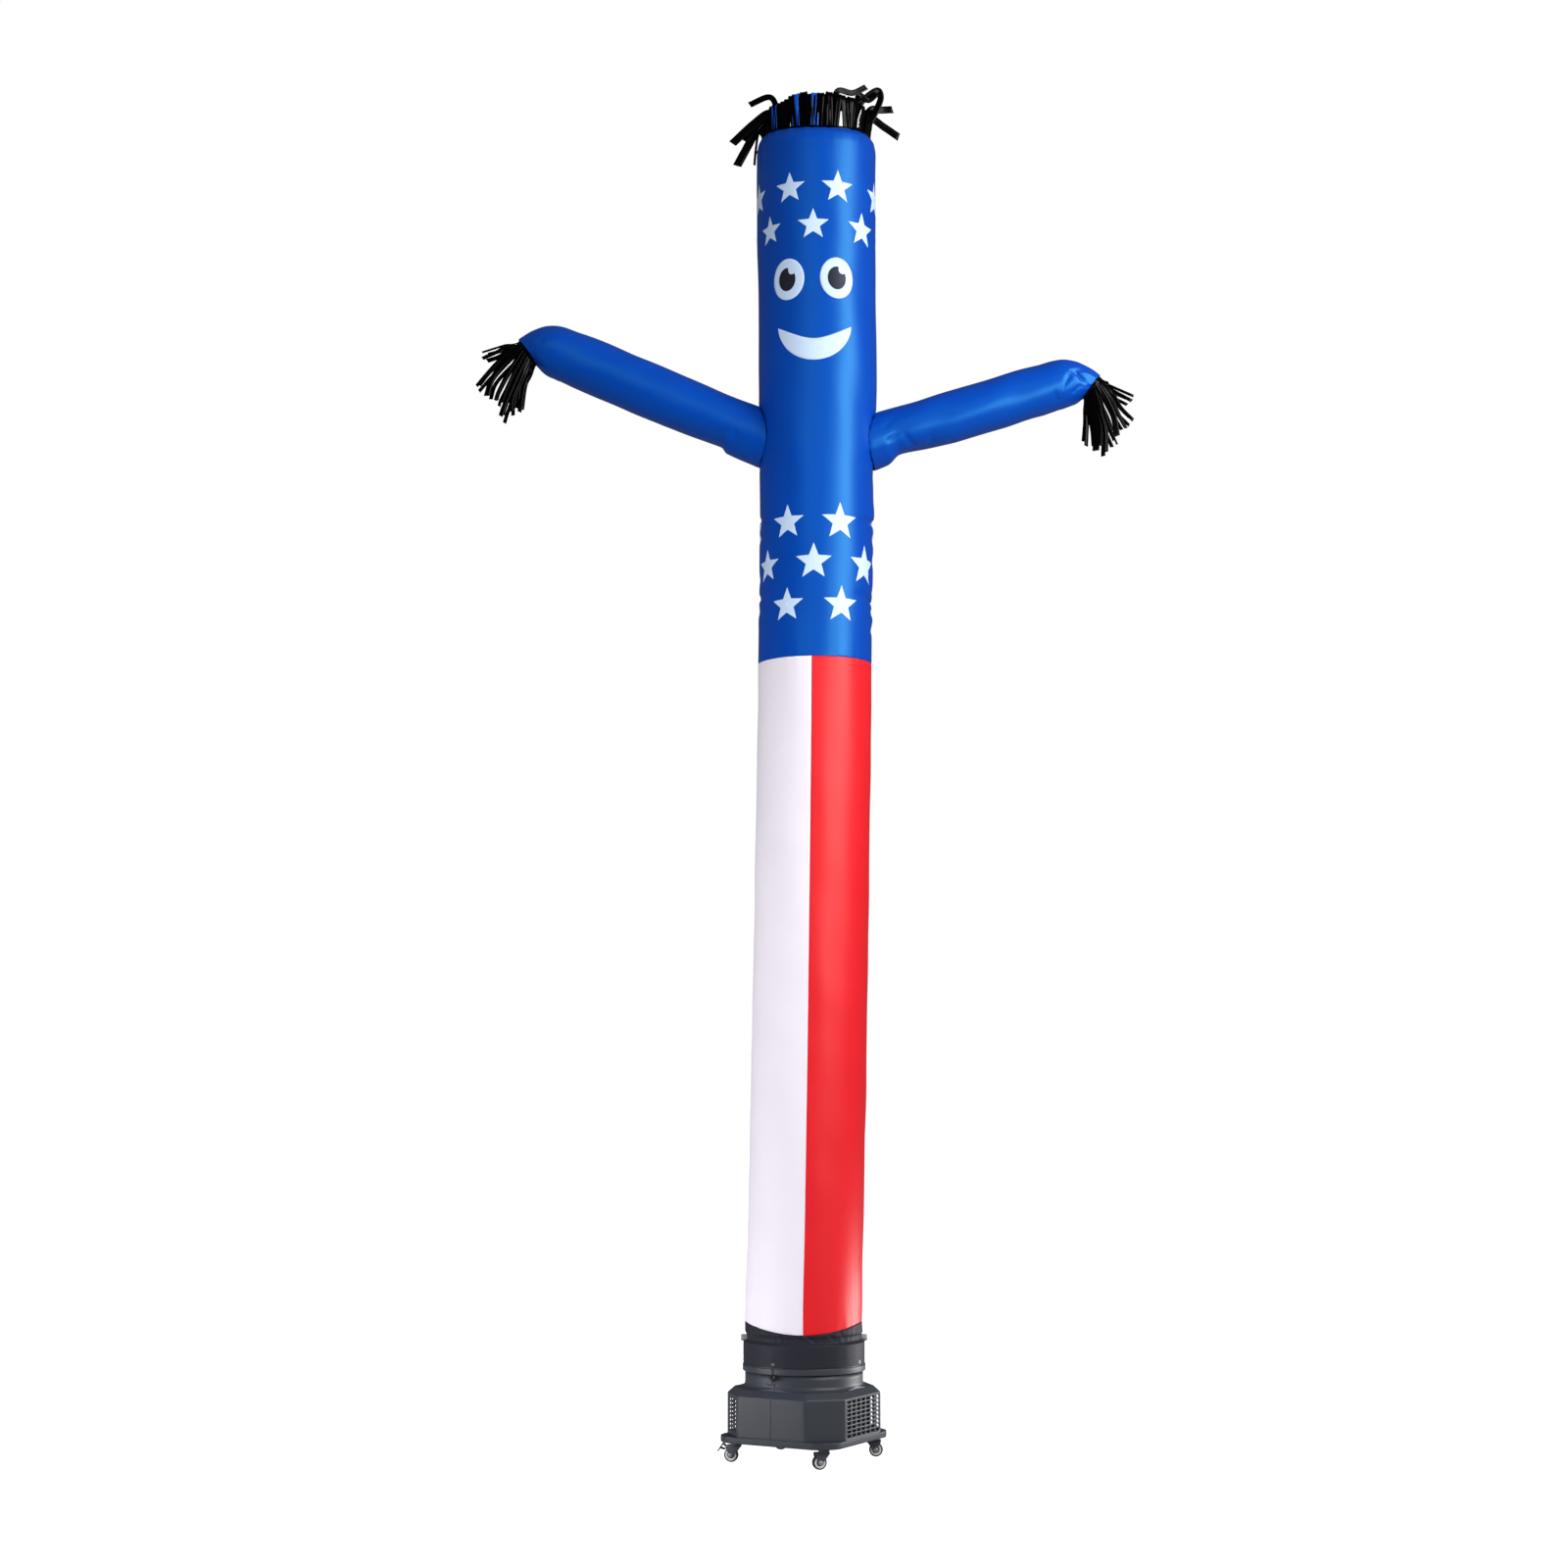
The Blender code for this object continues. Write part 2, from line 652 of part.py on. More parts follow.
def make_hand(side, table, end_dir, fall):
    """A cuff fringe: the upper teeth fall outwards, the lower ones nearly straight down."""
    x, z, radius = table[-1]
    centre = np.array([x, 0.0, z])
    out = np.array([end_dir[0], 0.0, end_dir[1]])
    out /= np.linalg.norm(out)
    sign = math.copysign(1.0, end_dir[0])
    up = np.cross(out, (0.0, 1.0, 0.0)) * sign
    radius = (radius - CLOTH) * math.cos(math.pi / SLEEVE_COLUMNS) - HAND_BAND_SLACK
    middles, half, sides = tooth_sides(HAND_TEETH, radius, HAND_START_DEG)

    def spokes(degrees):
        angle = np.radians(np.atleast_1d(degrees))[:, None] * sign
        return np.cos(angle) * up + np.sin(angle) * (0.0, -1.0, 0.0)

    band = np.array([centre - out * HAND_BAND + radius * spokes(sides), centre + radius * spokes(sides)])
    teeth = []
    for index, middle in enumerate(middles):
        height = math.cos(math.radians(middle))
        angle = math.radians(np.interp(height, FALL_PLACES, fall))
        reach = TOOTH_LENGTH * TOOTH_SHARES[index]
        gone = np.array([sign * math.cos(angle), 0.0, -math.sin(angle)])
        aside = np.array([0.0, -math.sin(math.radians(middle)) * sign * FRINGE_SPREAD_Y, 0.0])
        edge = centre + radius * spokes((middle - half, middle + half))
        rows = []
        for step in range(1, HAND_FRINGE_ROWS + 1):
            t = step / HAND_FRINGE_ROWS
            way = out * (t - t * t) + gone * t * t + (out * 0.25 + gone * 0.75) * (t - t * t)
            rows.append(edge + way * reach + aside * t)
        teeth.append(np.array(rows))
    return comb("fringe_hand_" + side, band, teeth, "black_polyester")


# ---------------------------------------------------------------- eyelets and drawcord
def smooth_route(knots, step):
    """Points about one step apart on the smooth curve (Catmull-Rom) through the knots."""
    knots = np.array(knots)
    ends = np.concatenate([2 * knots[:1] - knots[1:2], knots, 2 * knots[-1:] - knots[-2:-1]])
    points = []
    for before, start, end, after in zip(ends[:-3], ends[1:-2], ends[2:-1], ends[3:]):
        for t in np.linspace(0.0, 1.0, 8, endpoint=False):
            a = 2 * start + (end - before) * t
            b = (2 * before - 5 * start + 4 * end - after) * t ** 2
            c = (3 * start - before - 3 * end + after) * t ** 3
            points.append((a + b + c) / 2)
    points = np.array([*points, knots[-1]])
    along = np.concatenate([[0.0], np.cumsum(np.linalg.norm(np.diff(points, axis=0), axis=1))])
    stops = np.linspace(0.0, along[-1], round(along[-1] / step) + 1)
    return np.stack([np.interp(stops, along, points[:, axis]) for axis in range(3)], axis=1)


def make_eyelet(side, degrees):
    """A metal ring that faces straight out from the hem, turned about the radial line."""
    x, y = turn(degrees)
    outward, right, up = Vector((x, y, 0.0)), Vector((-y, x, 0.0)), Vector((0.0, 0.0, 1.0))
    angles = np.arange(12) * 2 * math.pi / 12
    rings = []
    for radius, rise in EYELET_PROFILE:
        centre = outward * (EYELET_FACE_R + rise) + up * EYELET_Z
        rings.append([centre + (right * math.cos(a) + up * math.sin(a)) * radius for a in angles])
    grid = np.array(rings)
    rows, columns = grid.shape[:2]
    faces = grid_faces(rows, columns, True)
    last = (rows - 1) * columns
    for column in range(columns):
        after = (column + 1) % columns
        faces.append((last + column, last + after, after, column))
    return smooth(add_object("eyelet_" + side, grid.reshape(-1, 3), faces, "bright_steel"))


def make_drawcord():
    x, y = turn(CORD_DEG)
    route = [(r * x - aside * y, r * y + aside * x, z) for r, aside, z in CORD_ROUTE]
    points = smooth_route(route, CORD_STEP)
    curve = bpy.data.curves.new("drawcord", "CURVE")
    curve.dimensions = "3D"
    curve.bevel_depth = CORD_D / 2
    curve.bevel_resolution = 2
    curve.use_fill_caps = True
    spline = curve.splines.new("POLY")
    spline.points.add(len(points) - 1)
    for knot, point in zip(spline.points, points):
        knot.co = (*point, 1.0)
    cord = bpy.data.objects.new("drawcord", curve)
    bpy.context.scene.collection.objects.link(cord)
    curve.materials.append(material("black_polyester"))
    return cord


def make_lock():
    """The barrel lies across the cord, which hangs through its bore."""
    x, y = turn(CORD_DEG)
    hang = Vector((CORD_HANG_R * x, CORD_HANG_R * y, LOCK_Z))
    axis = Vector((*turn(LOCK_AXIS_DEG), 0.0))
    back = hang - axis * LOCK_BACK
    lock = rod("cord_lock", back, back + axis, LOCK_PROFILE, 16, "black_moulding")
    reach = Vector((0.0, 0.0, LOCK_PROFILE[-2][1] + 4 * MM))
    bore = ((0.0, LOCK_BORE), (2 * reach.z, LOCK_BORE))
    cut(lock, rod("cord_bore", hang - reach, hang + reach, bore, 12))
    return lock


# ---------------------------------------------------------------- blower housing
def housing_radius(degrees, inward):
    """Radius of the eight-sided housing at each azimuth, its faces moved in."""
    corners = np.array([*HOUSING_CORNERS, 360.0])
    reach = np.zeros_like(degrees)
    for start, end in zip(corners[:-1], corners[1:]):
        middle, apothem = (start + end) / 2, HOUSING_R * math.cos(math.radians((end - start) / 2))
        off = (degrees - middle + 180.0) % 360.0 - 180.0
        near = np.maximum(np.cos(np.radians(off)), 1e-3)
        candidate = (apothem - inward) / near
        reach = np.where(reach == 0, candidate, np.minimum(reach, candidate))
    return reach


def housing_columns():
    """Azimuths of half the housing, from parting seam to parting seam, with its corners among them."""
    corners = [a for a in HOUSING_CORNERS if PARTING_DEG < a < PARTING_DEG + 180.0]
    stops = [PARTING_DEG, *corners, PARTING_DEG + 180.0]
    columns = []
    for start, end in zip(stops[:-1], stops[1:]):
        pieces = max(1, round((end - start) / COLUMN_STEP))
        columns += list(np.linspace(start, end, pieces, endpoint=False))
    return np.array([*columns, stops[-1]])


def make_half_shell(name, turned):
    """Wall, bevel and neck of one half of the housing, with its two grilles."""
    degrees = housing_columns()
    seam = math.degrees(GAP / 2 / PARTING_R)
    degrees[0] += seam
    degrees[-1] -= seam
    degrees = degrees + turned
    flat = housing_radius(degrees, BEVEL_IN)
    outer = [
        (housing_radius(degrees, 0.0), HOUSING_FOOT),
        (housing_radius(degrees, 0.0), BEVEL_FOOT),
        (flat, BEVEL_TOP),
        *[(np.minimum(flat - 1.0 * MM, NECK_R + past), BEVEL_TOP + rise) for past, rise in NECK_SWEEP],
        (NECK_R, NECK_TOP),
    ]
    inner = [
        (housing_radius(degrees, WALL), HOUSING_FOOT),
        (housing_radius(degrees, WALL), BEVEL_FOOT - WALL * 0.4),
        (flat - WALL, BEVEL_TOP - WALL),
        (np.minimum(flat - WALL - 1.0 * MM, NECK_R + 9 * MM), BEVEL_TOP - WALL / 2),
        (NECK_R - WALL, BEVEL_TOP + 8 * MM),
        (NECK_R - WALL, BEVEL_TOP + 18 * MM),
        (NECK_R - WALL, NECK_TOP),
    ]
    outer = np.array([ring_points(radius, z, degrees) for radius, z in outer])
    inner = np.array([ring_points(radius, z, degrees) for radius, z in inner])
    half = shell(name, outer, inner, False, "grey_moulding")
    half.data.set_sharp_from_angle(angle=math.radians(20))
    for face, normal, apothem, holes in (
        ("side", SIDE_NORMAL_DEG, SIDE_APOTHEM, SIDE_HOLES),
        ("chamfer", CHAMFER_NORMAL_DEG, CHAMFER_APOTHEM, CHAMFER_HOLES),
    ):
        cut(half, grille_cutter(f"{name}_{face}_holes", normal + turned, apothem, holes))
    return half


def grille_cutter(name, normal_deg, apothem, holes):
    """A field of square-ended pegs through one face of the housing."""
    nx, ny = turn(normal_deg)
    normal = np.array([nx, ny, 0.0])
    along = np.array([-ny, nx, 0.0])
    columns, rows = holes
    points, faces = [], []
    for column in range(columns):
        for row in range(rows):
            side = (column - (columns - 1) / 2) * HOLE_PITCH[0]
            height = GRILLE_Z + (row - (rows - 1) / 2) * HOLE_PITCH[1]
            first = len(points)
            for depth in (-2 * WALL, WALL):
                for dx, dz in ((-1, -1), (1, -1), (1, 1), (-1, 1)):
                    at = normal * (apothem + depth) + along * (side + dx * HOLE[0] / 2)
                    points.append(at + np.array([0.0, 0.0, height + dz * HOLE[1] / 2]))
            quads = ((0, 3, 2, 1), (4, 5, 6, 7), (0, 1, 5, 4), (1, 2, 6, 5), (2, 3, 7, 6), (3, 0, 4, 7))
            faces += [tuple(first + k for k in quad) for quad in quads]
    return add_object(name, points, faces)


def make_collar():
    return lathe("outlet_collar", COLLAR_PROFILE, COLLAR_SEGMENTS, "grey_moulding")


def make_peg(side, sign):
    """A stub with a rounded end; its foot stands on the collar's spigot."""
    root = 0.2160 + GAP
    radius = PEG_D / 2
    length = PEG_REACH - root
    profile = (
        (0.0, radius),
        (length - 5 * MM, radius),
        (length - 1.5 * MM, radius - 1.5 * MM),
        (length, radius - 5 * MM),
    )
    start = (sign * root, 0.0, PEG_Z)
    return rod("peg_" + side, start, (sign * PEG_REACH, 0.0, PEG_Z), profile, 20, "light_moulding")


def rounded_square(half, corner, turned, steps=6):
    """Azimuth-ordered outline of a square with round corners, as (x, y)."""
    points = []
    for quarter in range(4):
        middle = 45.0 + 90.0 * quarter
        cx, cy = turn(middle)
        centre = np.array([cx, cy]) * math.sqrt(2) * (half - corner)
        for step in range(steps + 1):
            x, y = turn(middle - 45.0 + 90.0 * step / steps)
            points.append(centre + corner * np.array([x, y]))
    x, y = np.array(points).T
    angle = math.radians(turned)
    cos, sin = math.cos(angle), math.sin(angle)
    return np.stack([x * cos - y * sin, x * sin + y * cos], axis=-1)


def make_base_plate():
    rows = []
    for z, inset in (
        (PLATE_FOOT, 2 * MM),
        (PLATE_FOOT + 2 * MM, 0.0),
        (PLATE_TOP - PLATE_EDGE, 0.0),
        (PLATE_TOP - PLATE_EDGE * 0.3, 0.3 * PLATE_EDGE),
        (PLATE_TOP, PLATE_EDGE),
    ):
        outline = rounded_square(PLATE_HALF - inset, PLATE_CORNER - inset, SIDE_NORMAL_DEG - 90.0)
        rows.append(np.concatenate([outline, np.full((len(outline), 1), z)], axis=1))
    return smooth(capped("base_plate", np.array(rows), "grey_moulding"), 30.0)


def make_gland():
    """A cable gland on the back face, beside the parting seam."""
    nx, ny = turn(GLAND_DEG)
    aside = Vector((-ny, nx, 0.0)) * GLAND_ASIDE
    foot = Vector((nx, ny, 0.0)) * (SIDE_APOTHEM + GAP) + aside + Vector((0.0, 0.0, GLAND_Z))
    return rod("cable_gland", foot, foot + Vector((nx, ny, 0.0)), GLAND_PROFILE, 12, "black_moulding")


# ---------------------------------------------------------------- casters
def arc(centre, radius, start, end, steps):
    """Points of an arc in the X Z plane, angles in degrees from +X towards +Z."""
    angles = np.radians(np.linspace(start, end, steps))
    return [(centre[0] + radius * math.cos(a), centre[1] + radius * math.sin(a)) for a in angles]


def cheek_outline():
    """Side of the fork: wide under the crown, round at the axle."""
    axle = (TRAIL, WHEEL_R)
    return [
        (FORK_BACK, CROWN_Z[1]),
        (FORK_FRONT, CROWN_Z[1]),
        (FORK_FRONT, 0.0530),
        (0.0290, 0.0400),
        *arc(axle, 10 * MM, 20.0, -160.0, 6),
        (FORK_BACK, 0.0590),
    ]


def make_fork(name, braked):
    """Crown, swivel race and two cheeks in one piece, bored for the axle."""
    outline = cheek_outline()
    inside, outside = CHEEK_IN, CHEEK_IN + CHEEK
    crown_top = CROWN_Z[1] - 0.2 * MM
    fork = box(name, (FORK_BACK, -outside, CROWN_Z[0]), (CROWN_FRONT, outside, crown_top), "dark_steel")
    pieces = [
        prism(name + "_near", outline, -outside, -inside),
        prism(name + "_far", outline, inside, outside),
        rod(name + "_race", (0, 0, RACE_FOOT), (0, 0, SWIVEL_TOP), RACE_PROFILE, 14),
    ]
    for piece in pieces:
        join(fork, piece)
    bores = [(name + "_bore", (TRAIL, WHEEL_R), AXLE_R + RUNNING)]
    if braked:
        bores.append((name + "_eye", PEDAL_PIN, PEDAL_PIN_R + RUNNING))
    reach = outside + 2 * MM
    holes = [
        rod(tool, (x, -reach, z), (x, reach, z), ((0.0, radius), (2 * reach, radius)), 12)
        for tool, (x, z), radius in bores
    ]
    for hole in holes:
        cut(fork, hole)
    return [fork, *pieces, *holes]


def make_axle(name):
    """Bolt across the fork with a large bright cap at each end."""
    outside = CHEEK_IN + CHEEK + RUNNING
    cap = 8.5 * MM
    shank = AXLE_R
    length = 2 * (outside + 2.5 * MM)
    profile = (
        (0.0, cap - 1.5 * MM),
        (1.0 * MM, cap),
        (2.5 * MM, cap),
        (2.5 * MM, shank),
        (length - 2.5 * MM, shank),
        (length - 2.5 * MM, cap),
        (length - 1.0 * MM, cap),
        (length, cap - 1.5 * MM),
    )
    half = length / 2
    return rod(name, (TRAIL, -half, WHEEL_R), (TRAIL, half, WHEEL_R), profile, 16, "bright_steel")


def wheel_ring(name, profile, finish):
    """A ring turned about the axle: profile rows are (radius, sideways), a flat side downwards."""
    angles = math.pi / WHEEL_SEGMENTS + np.arange(WHEEL_SEGMENTS) * 2 * math.pi / WHEEL_SEGMENTS - math.pi / 2
    facet = 1.0 / math.cos(math.pi / WHEEL_SEGMENTS)
    grid = np.array([
        [
            (TRAIL + radius * facet * math.cos(a), sideways, WHEEL_R + radius * facet * math.sin(a))
            for a in angles
        ]
        for radius, sideways in profile
    ])
    rows = len(profile)
    faces = grid_faces(rows, WHEEL_SEGMENTS, True)
    last = (rows - 1) * WHEEL_SEGMENTS
    for column in range(WHEEL_SEGMENTS):
        after = (column + 1) % WHEEL_SEGMENTS
        faces.append((last + column, last + after, after, column))
    return smooth(add_object(name, grid.reshape(-1, 3), faces, finish), 30.0)


def make_wheel(name):
    half = WHEEL_WIDTH / 2
    seat = HUB_R + RUNNING
    tyre_profile = [
        (seat, half - 1.5 * MM),
        (WHEEL_R - 3 * MM, half),
        (WHEEL_R, half - 4 * MM),
        (WHEEL_R, 4 * MM - half),
        (WHEEL_R - 3 * MM, -half),
        (seat, 1.5 * MM - half),
    ]
    bore = AXLE_R + RUNNING
    hub_profile = [
        (bore, half),
        (11 * MM, half),
        (HUB_R, half - 1.5 * MM),
        (HUB_R, 1.5 * MM - half),
        (11 * MM, -half),
        (bore, -half),
    ]
    tyre = wheel_ring(name + "_tyre", tyre_profile, "black_rubber")
    hub = wheel_ring(name + "_hub", hub_profile, "white_moulding")
    return [tyre, hub]


def bar(name, start, end, thick, low, high):
    """A flat bar between two points of the X Z plane, from y = low to y = high."""
    start, end = Vector(start), Vector(end)
    along = (end - start).normalized() * (thick / 2)
    aside = Vector((-along.y, along.x))
    corners = [start - along + aside, end + along + aside, end + along - aside, start - along - aside]
    return prism(name, [tuple(c) for c in corners], low, high)


def make_pedal(name):
    """Foot brake: a pin through the fork, two pierced arms and a tread that leans outwards."""
    pin_x, pin_z = PEDAL_PIN
    inner = CHEEK_IN - 1 * MM
    reach = CHEEK_IN + CHEEK + 1 * MM
    profile = (
        (0.0, PEDAL_PIN_R),
        (reach - inner, PEDAL_PIN_R),
        (reach - inner, PEDAL_KNUCKLE_R),
        (reach + inner, PEDAL_KNUCKLE_R),
        (reach + inner, PEDAL_PIN_R),
        (2 * reach, PEDAL_PIN_R),
    )
    pedal = rod(name, (pin_x, -reach, pin_z), (pin_x, reach, pin_z), profile, 12, "dark_steel")
    tools = []
    for tag, side in (("near", -1), ("far", 1)):
        edge = inner - 0.2 * MM
        low, high = sorted((side * edge, side * (edge - PEDAL_ARM_THICK)))
        for index, (start, end) in enumerate(zip(PEDAL_LOOP[:-1], PEDAL_LOOP[1:])):
            tools.append(bar(f"{name}_{tag}_{index}", start, end, PEDAL_ARM_DEEP, low, high))
    tools.append(bar(name + "_tread", *PEDAL_TREAD, PEDAL_TREAD_THICK, -inner, inner))
    for tool in tools:
        join(pedal, tool)
    return [pedal, *tools]


def make_caster(tag, azimuth, heading):
    """One caster; heading is the direction in which the wheel trails, in degrees from +X towards +Y."""
    x, y = turn(azimuth)
    origin = (CASTER_RADIUS * x, CASTER_RADIUS * y, 0.0)
    name = "caster_" + tag
    half = CASTER_PLATE / 2
    low, high = (-half, -half, CASTER_PLATE_Z[0]), (half, half, CASTER_PLATE_Z[1])
    plate = box(name + "_plate", low, high, "dark_steel")
    place(plate, origin, azimuth)
    pieces = make_fork(name + "_fork", tag == "left")
    pieces.append(make_axle(name + "_axle"))
    pieces += make_wheel(name)
    if tag == "left":
        pieces += make_pedal(name + "_pedal")
    for piece in pieces:
        place(piece, origin, heading)


def main():
    clear_scene()
    make_upper()
    half = TUBE_COLUMNS // 2
    make_panel("panel_red", 0, half, "red_polyester")
    make_panel("panel_white", half, TUBE_COLUMNS, "white_polyester")
    make_skirt()
    make_sleeve("left", SLEEVE_LEFT, CUFF_LEFT_DIR)
    make_sleeve("right", SLEEVE_RIGHT, CUFF_RIGHT_DIR)
    make_hair()
    make_hand("left", SLEEVE_LEFT, CUFF_LEFT_DIR, FALL_LEFT)
    make_hand("right", SLEEVE_RIGHT, CUFF_RIGHT_DIR, FALL_RIGHT)
    for side, azimuth in EYELET_DEGS.items():
        make_eyelet(side, azimuth)
    make_drawcord()
    make_lock()
    make_half_shell("housing_front", 0.0)
    make_half_shell("housing_back", 180.0)
    make_collar()
    make_peg("left", -1)
    make_peg("right", 1)
    make_base_plate()
    make_gland()
    for tag, azimuth, heading in CASTERS:
        make_caster(tag, azimuth, heading)


main()
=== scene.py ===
# %% [markdown]
# # An inflatable air dancer on its blower
#
# The dancer is a tube of light polyester, sewn from a few panels and kept upright by the air of a
# blower in its foot. This lesson builds its looks round a frame that is already settled: the frame
# gives every piece its size and place, and each cell below adds one piece or one finish.
#
# Lengths are in metres. X runs to the viewer's right, Y away from the viewer and Z up, and the
# blower's axis meets the floor at the origin. Azimuths are in degrees, from the front (-Y) towards +X.

# %% The frame
import json

import bmesh
import bpy
import numpy as np
from mathutils import Matrix, Vector

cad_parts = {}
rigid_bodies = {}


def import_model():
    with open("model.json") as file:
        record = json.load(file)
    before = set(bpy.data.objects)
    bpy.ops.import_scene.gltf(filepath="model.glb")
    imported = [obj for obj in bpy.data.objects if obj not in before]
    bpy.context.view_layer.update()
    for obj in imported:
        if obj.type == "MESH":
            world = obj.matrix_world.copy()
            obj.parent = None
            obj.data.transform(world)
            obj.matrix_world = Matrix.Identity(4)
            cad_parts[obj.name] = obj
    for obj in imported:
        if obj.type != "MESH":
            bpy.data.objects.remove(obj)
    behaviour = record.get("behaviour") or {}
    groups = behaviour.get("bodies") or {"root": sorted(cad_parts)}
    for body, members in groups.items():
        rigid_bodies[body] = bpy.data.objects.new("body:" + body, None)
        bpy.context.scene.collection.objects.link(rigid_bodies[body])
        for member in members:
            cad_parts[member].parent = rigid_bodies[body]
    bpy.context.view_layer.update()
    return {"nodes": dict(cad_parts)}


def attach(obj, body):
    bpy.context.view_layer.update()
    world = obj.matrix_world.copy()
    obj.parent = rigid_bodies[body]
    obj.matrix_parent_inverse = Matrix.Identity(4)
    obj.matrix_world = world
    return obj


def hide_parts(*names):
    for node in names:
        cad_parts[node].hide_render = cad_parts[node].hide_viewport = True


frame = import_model()
MM = 0.001

# %% [markdown]
# ## The camera
#
# A tall thin thing is best seen from some way off, or its foot and its head are seen at very
# different angles. Ten metres and a 58 mm lens keep the tube's sides nearly parallel. The camera
# stands at chest height and looks up a little, which is why the seams near the top arch upwards.

# %% The camera
CAMERA_PLACE = (-0.0772, -10.0, 1.452)
CAMERA_PITCH_DEG = 6.58
CAMERA_LENS_MM, SENSOR_MM = 58.5, 36.0


def in_scene(name, data):
    """Makes an object of a mesh, a curve, a lamp or a lens, and puts it in the scene."""
    made = bpy.data.objects.new(name, data)
    bpy.context.scene.collection.objects.link(made)
    return made


lens = bpy.data.cameras.new("camera")
lens.lens, lens.sensor_width = CAMERA_LENS_MM, SENSOR_MM
lens.clip_end = 200.0
camera = in_scene("camera", lens)
camera.location = CAMERA_PLACE
camera.rotation_euler = (np.radians(90.0 + CAMERA_PITCH_DEG), 0.0, 0.0)
bpy.context.scene.camera = camera
bpy.context.scene.view_settings.view_transform = "Standard"
print("camera:", CAMERA_PLACE, "looking up by", CAMERA_PITCH_DEG, "degrees")

# %% [markdown]
# ## Whole arrays into meshes
#
# Every new surface here is a grid of points, worked out at once with numpy. A grid needs only its
# number of rows and columns to be joined up into quads. Each one also carries its place on the flat
# cloth, in metres, as a UV map, so that a weave follows the cloth wherever the cloth goes.


# %% Grids and meshes
def mesh_object(name, points, faces, finish, flat_uv=None):
    """A piece from points (n, 3) and faces (m, 3 or 4); flat_uv is one (u, v) for each face corner."""
    faces = np.asarray(faces)
    mesh = bpy.data.meshes.new(name)
    mesh.vertices.add(len(points))
    mesh.vertices.foreach_set("co", np.ascontiguousarray(points, np.float32).ravel())
    mesh.loops.add(faces.size)
    mesh.loops.foreach_set("vertex_index", faces.astype(np.int32).ravel())
    mesh.polygons.add(len(faces))
    mesh.polygons.foreach_set("loop_start", np.arange(0, faces.size, faces.shape[1], dtype=np.int32))
    if flat_uv is not None:
        layer = mesh.uv_layers.new(name="cloth")
        layer.data.foreach_set("uv", np.ascontiguousarray(flat_uv, np.float32).ravel())
    mesh.update(calc_edges=True)
    mesh.validate()
    mesh.shade_smooth()
    mesh.materials.append(finish)
    return in_scene(name, mesh)


def grid_quads(rows, columns, wrap=False):
    """Point numbers of the quads of a grid, and each quad's corners as (row, column) steps."""
    row, column = np.mgrid[0 : rows - 1, 0 : columns if wrap else columns - 1].reshape(2, -1)
    steps = np.array([(0, 0), (0, 1), (1, 1), (1, 0)])
    corners = np.stack([row, column], axis=1)[:, None, :] + steps[None]
    numbers = corners[..., 0] * columns + corners[..., 1] % columns
    return numbers, corners


def grid_object(name, points, finish, wrap=False, cloth=None, keep=None):
    """Quads over points (rows, columns, 3). cloth is (u along columns, v along rows), arrays in metres.

    With wrap, u has one value more than there are columns. keep picks the quads that stay.
    """
    rows, columns = points.shape[:2]
    numbers, corners = grid_quads(rows, columns, wrap)
    if keep is not None:
        numbers, corners = numbers[keep], corners[keep]
    flat_uv = None
    if cloth is not None:
        u, v = cloth
        flat_uv = np.stack([u[corners[..., 1]], v[corners[..., 0]]], axis=-1)
    return mesh_object(name, points.reshape(-1, 3), numbers, finish, flat_uv)


def round_u(width, columns):
    """The u of a closed grid's columns, from 0 to the cloth's whole width."""
    return np.arange(columns + 1) * width / columns


def thicken(piece, thickness, offset=-1.0):
    """A sheet's real thickness, laid inwards from the surface that the grid gives."""
    step = piece.modifiers.new("Thickness", "SOLIDIFY")
    step.thickness, step.offset, step.use_rim = thickness, offset, True
    return piece


def reworked(piece, change):
    """Lends the piece's mesh to a function as a BMesh, which can delete, join or turn its parts."""
    work = bmesh.new()
    work.from_mesh(piece.data)
    change(work)
    work.to_mesh(piece.data)
    work.free()
    return piece


def without_loose_points(piece):
    """Removes the points that no face uses, which cut-out holes leave behind."""

    def clear(work):
        loose = [point for point in work.verts if not point.link_faces]
        bmesh.ops.delete(work, geom=loose, context="VERTS")

    return reworked(piece, clear)


# %% [markdown]
# ## Curves that a maker's table gives
#
# A cutter's table gives the tube's width at a few heights and leaves the curve between them to the
# cloth. A cubic through the rows does the same. Its slopes are held back at each row, so that it never
# bulges past the values it is given.


# %% Smooth curves and smooth steps
def eased(x, knots, values):
    """The smooth curve through (knots, values): cubic pieces with no overshoot.

    The slope at a knot is the harmonic mean of the slopes on its two sides, or zero at a peak.
    """
    x, knots, values = (np.asarray(a, float) for a in (x, knots, values))
    step = np.diff(knots)
    slope = np.diff(values) / step
    same = slope[:-1] * slope[1:] > 0
    both = np.where(same, slope[:-1] + slope[1:], 1.0)
    inner = np.where(same, 2 * slope[:-1] * slope[1:] / both, 0.0)
    at = np.concatenate([slope[:1], inner, slope[-1:]])
    k = np.clip(np.searchsorted(knots, x, "right") - 1, 0, len(step) - 1)
    t = np.clip((x - knots[k]) / step[k], 0.0, 1.0)
    start = values[k] * (1 + 2 * t) * (1 - t) ** 2 + at[k] * step[k] * t * (1 - t) ** 2
    return start + values[k + 1] * t * t * (3 - 2 * t) + at[k + 1] * step[k] * t * t * (t - 1)


def ramp(x, low, high):
    """0 below low, 1 above high and a smooth S between them."""
    t = np.clip((x - low) / (high - low), 0.0, 1.0)
    return t * t * (3 - 2 * t)


def bell(distance, half):
    """1 at a line and almost nothing two half widths away from it: exp(-(distance / half)^2)."""
    return np.exp(-((distance / half) ** 2))


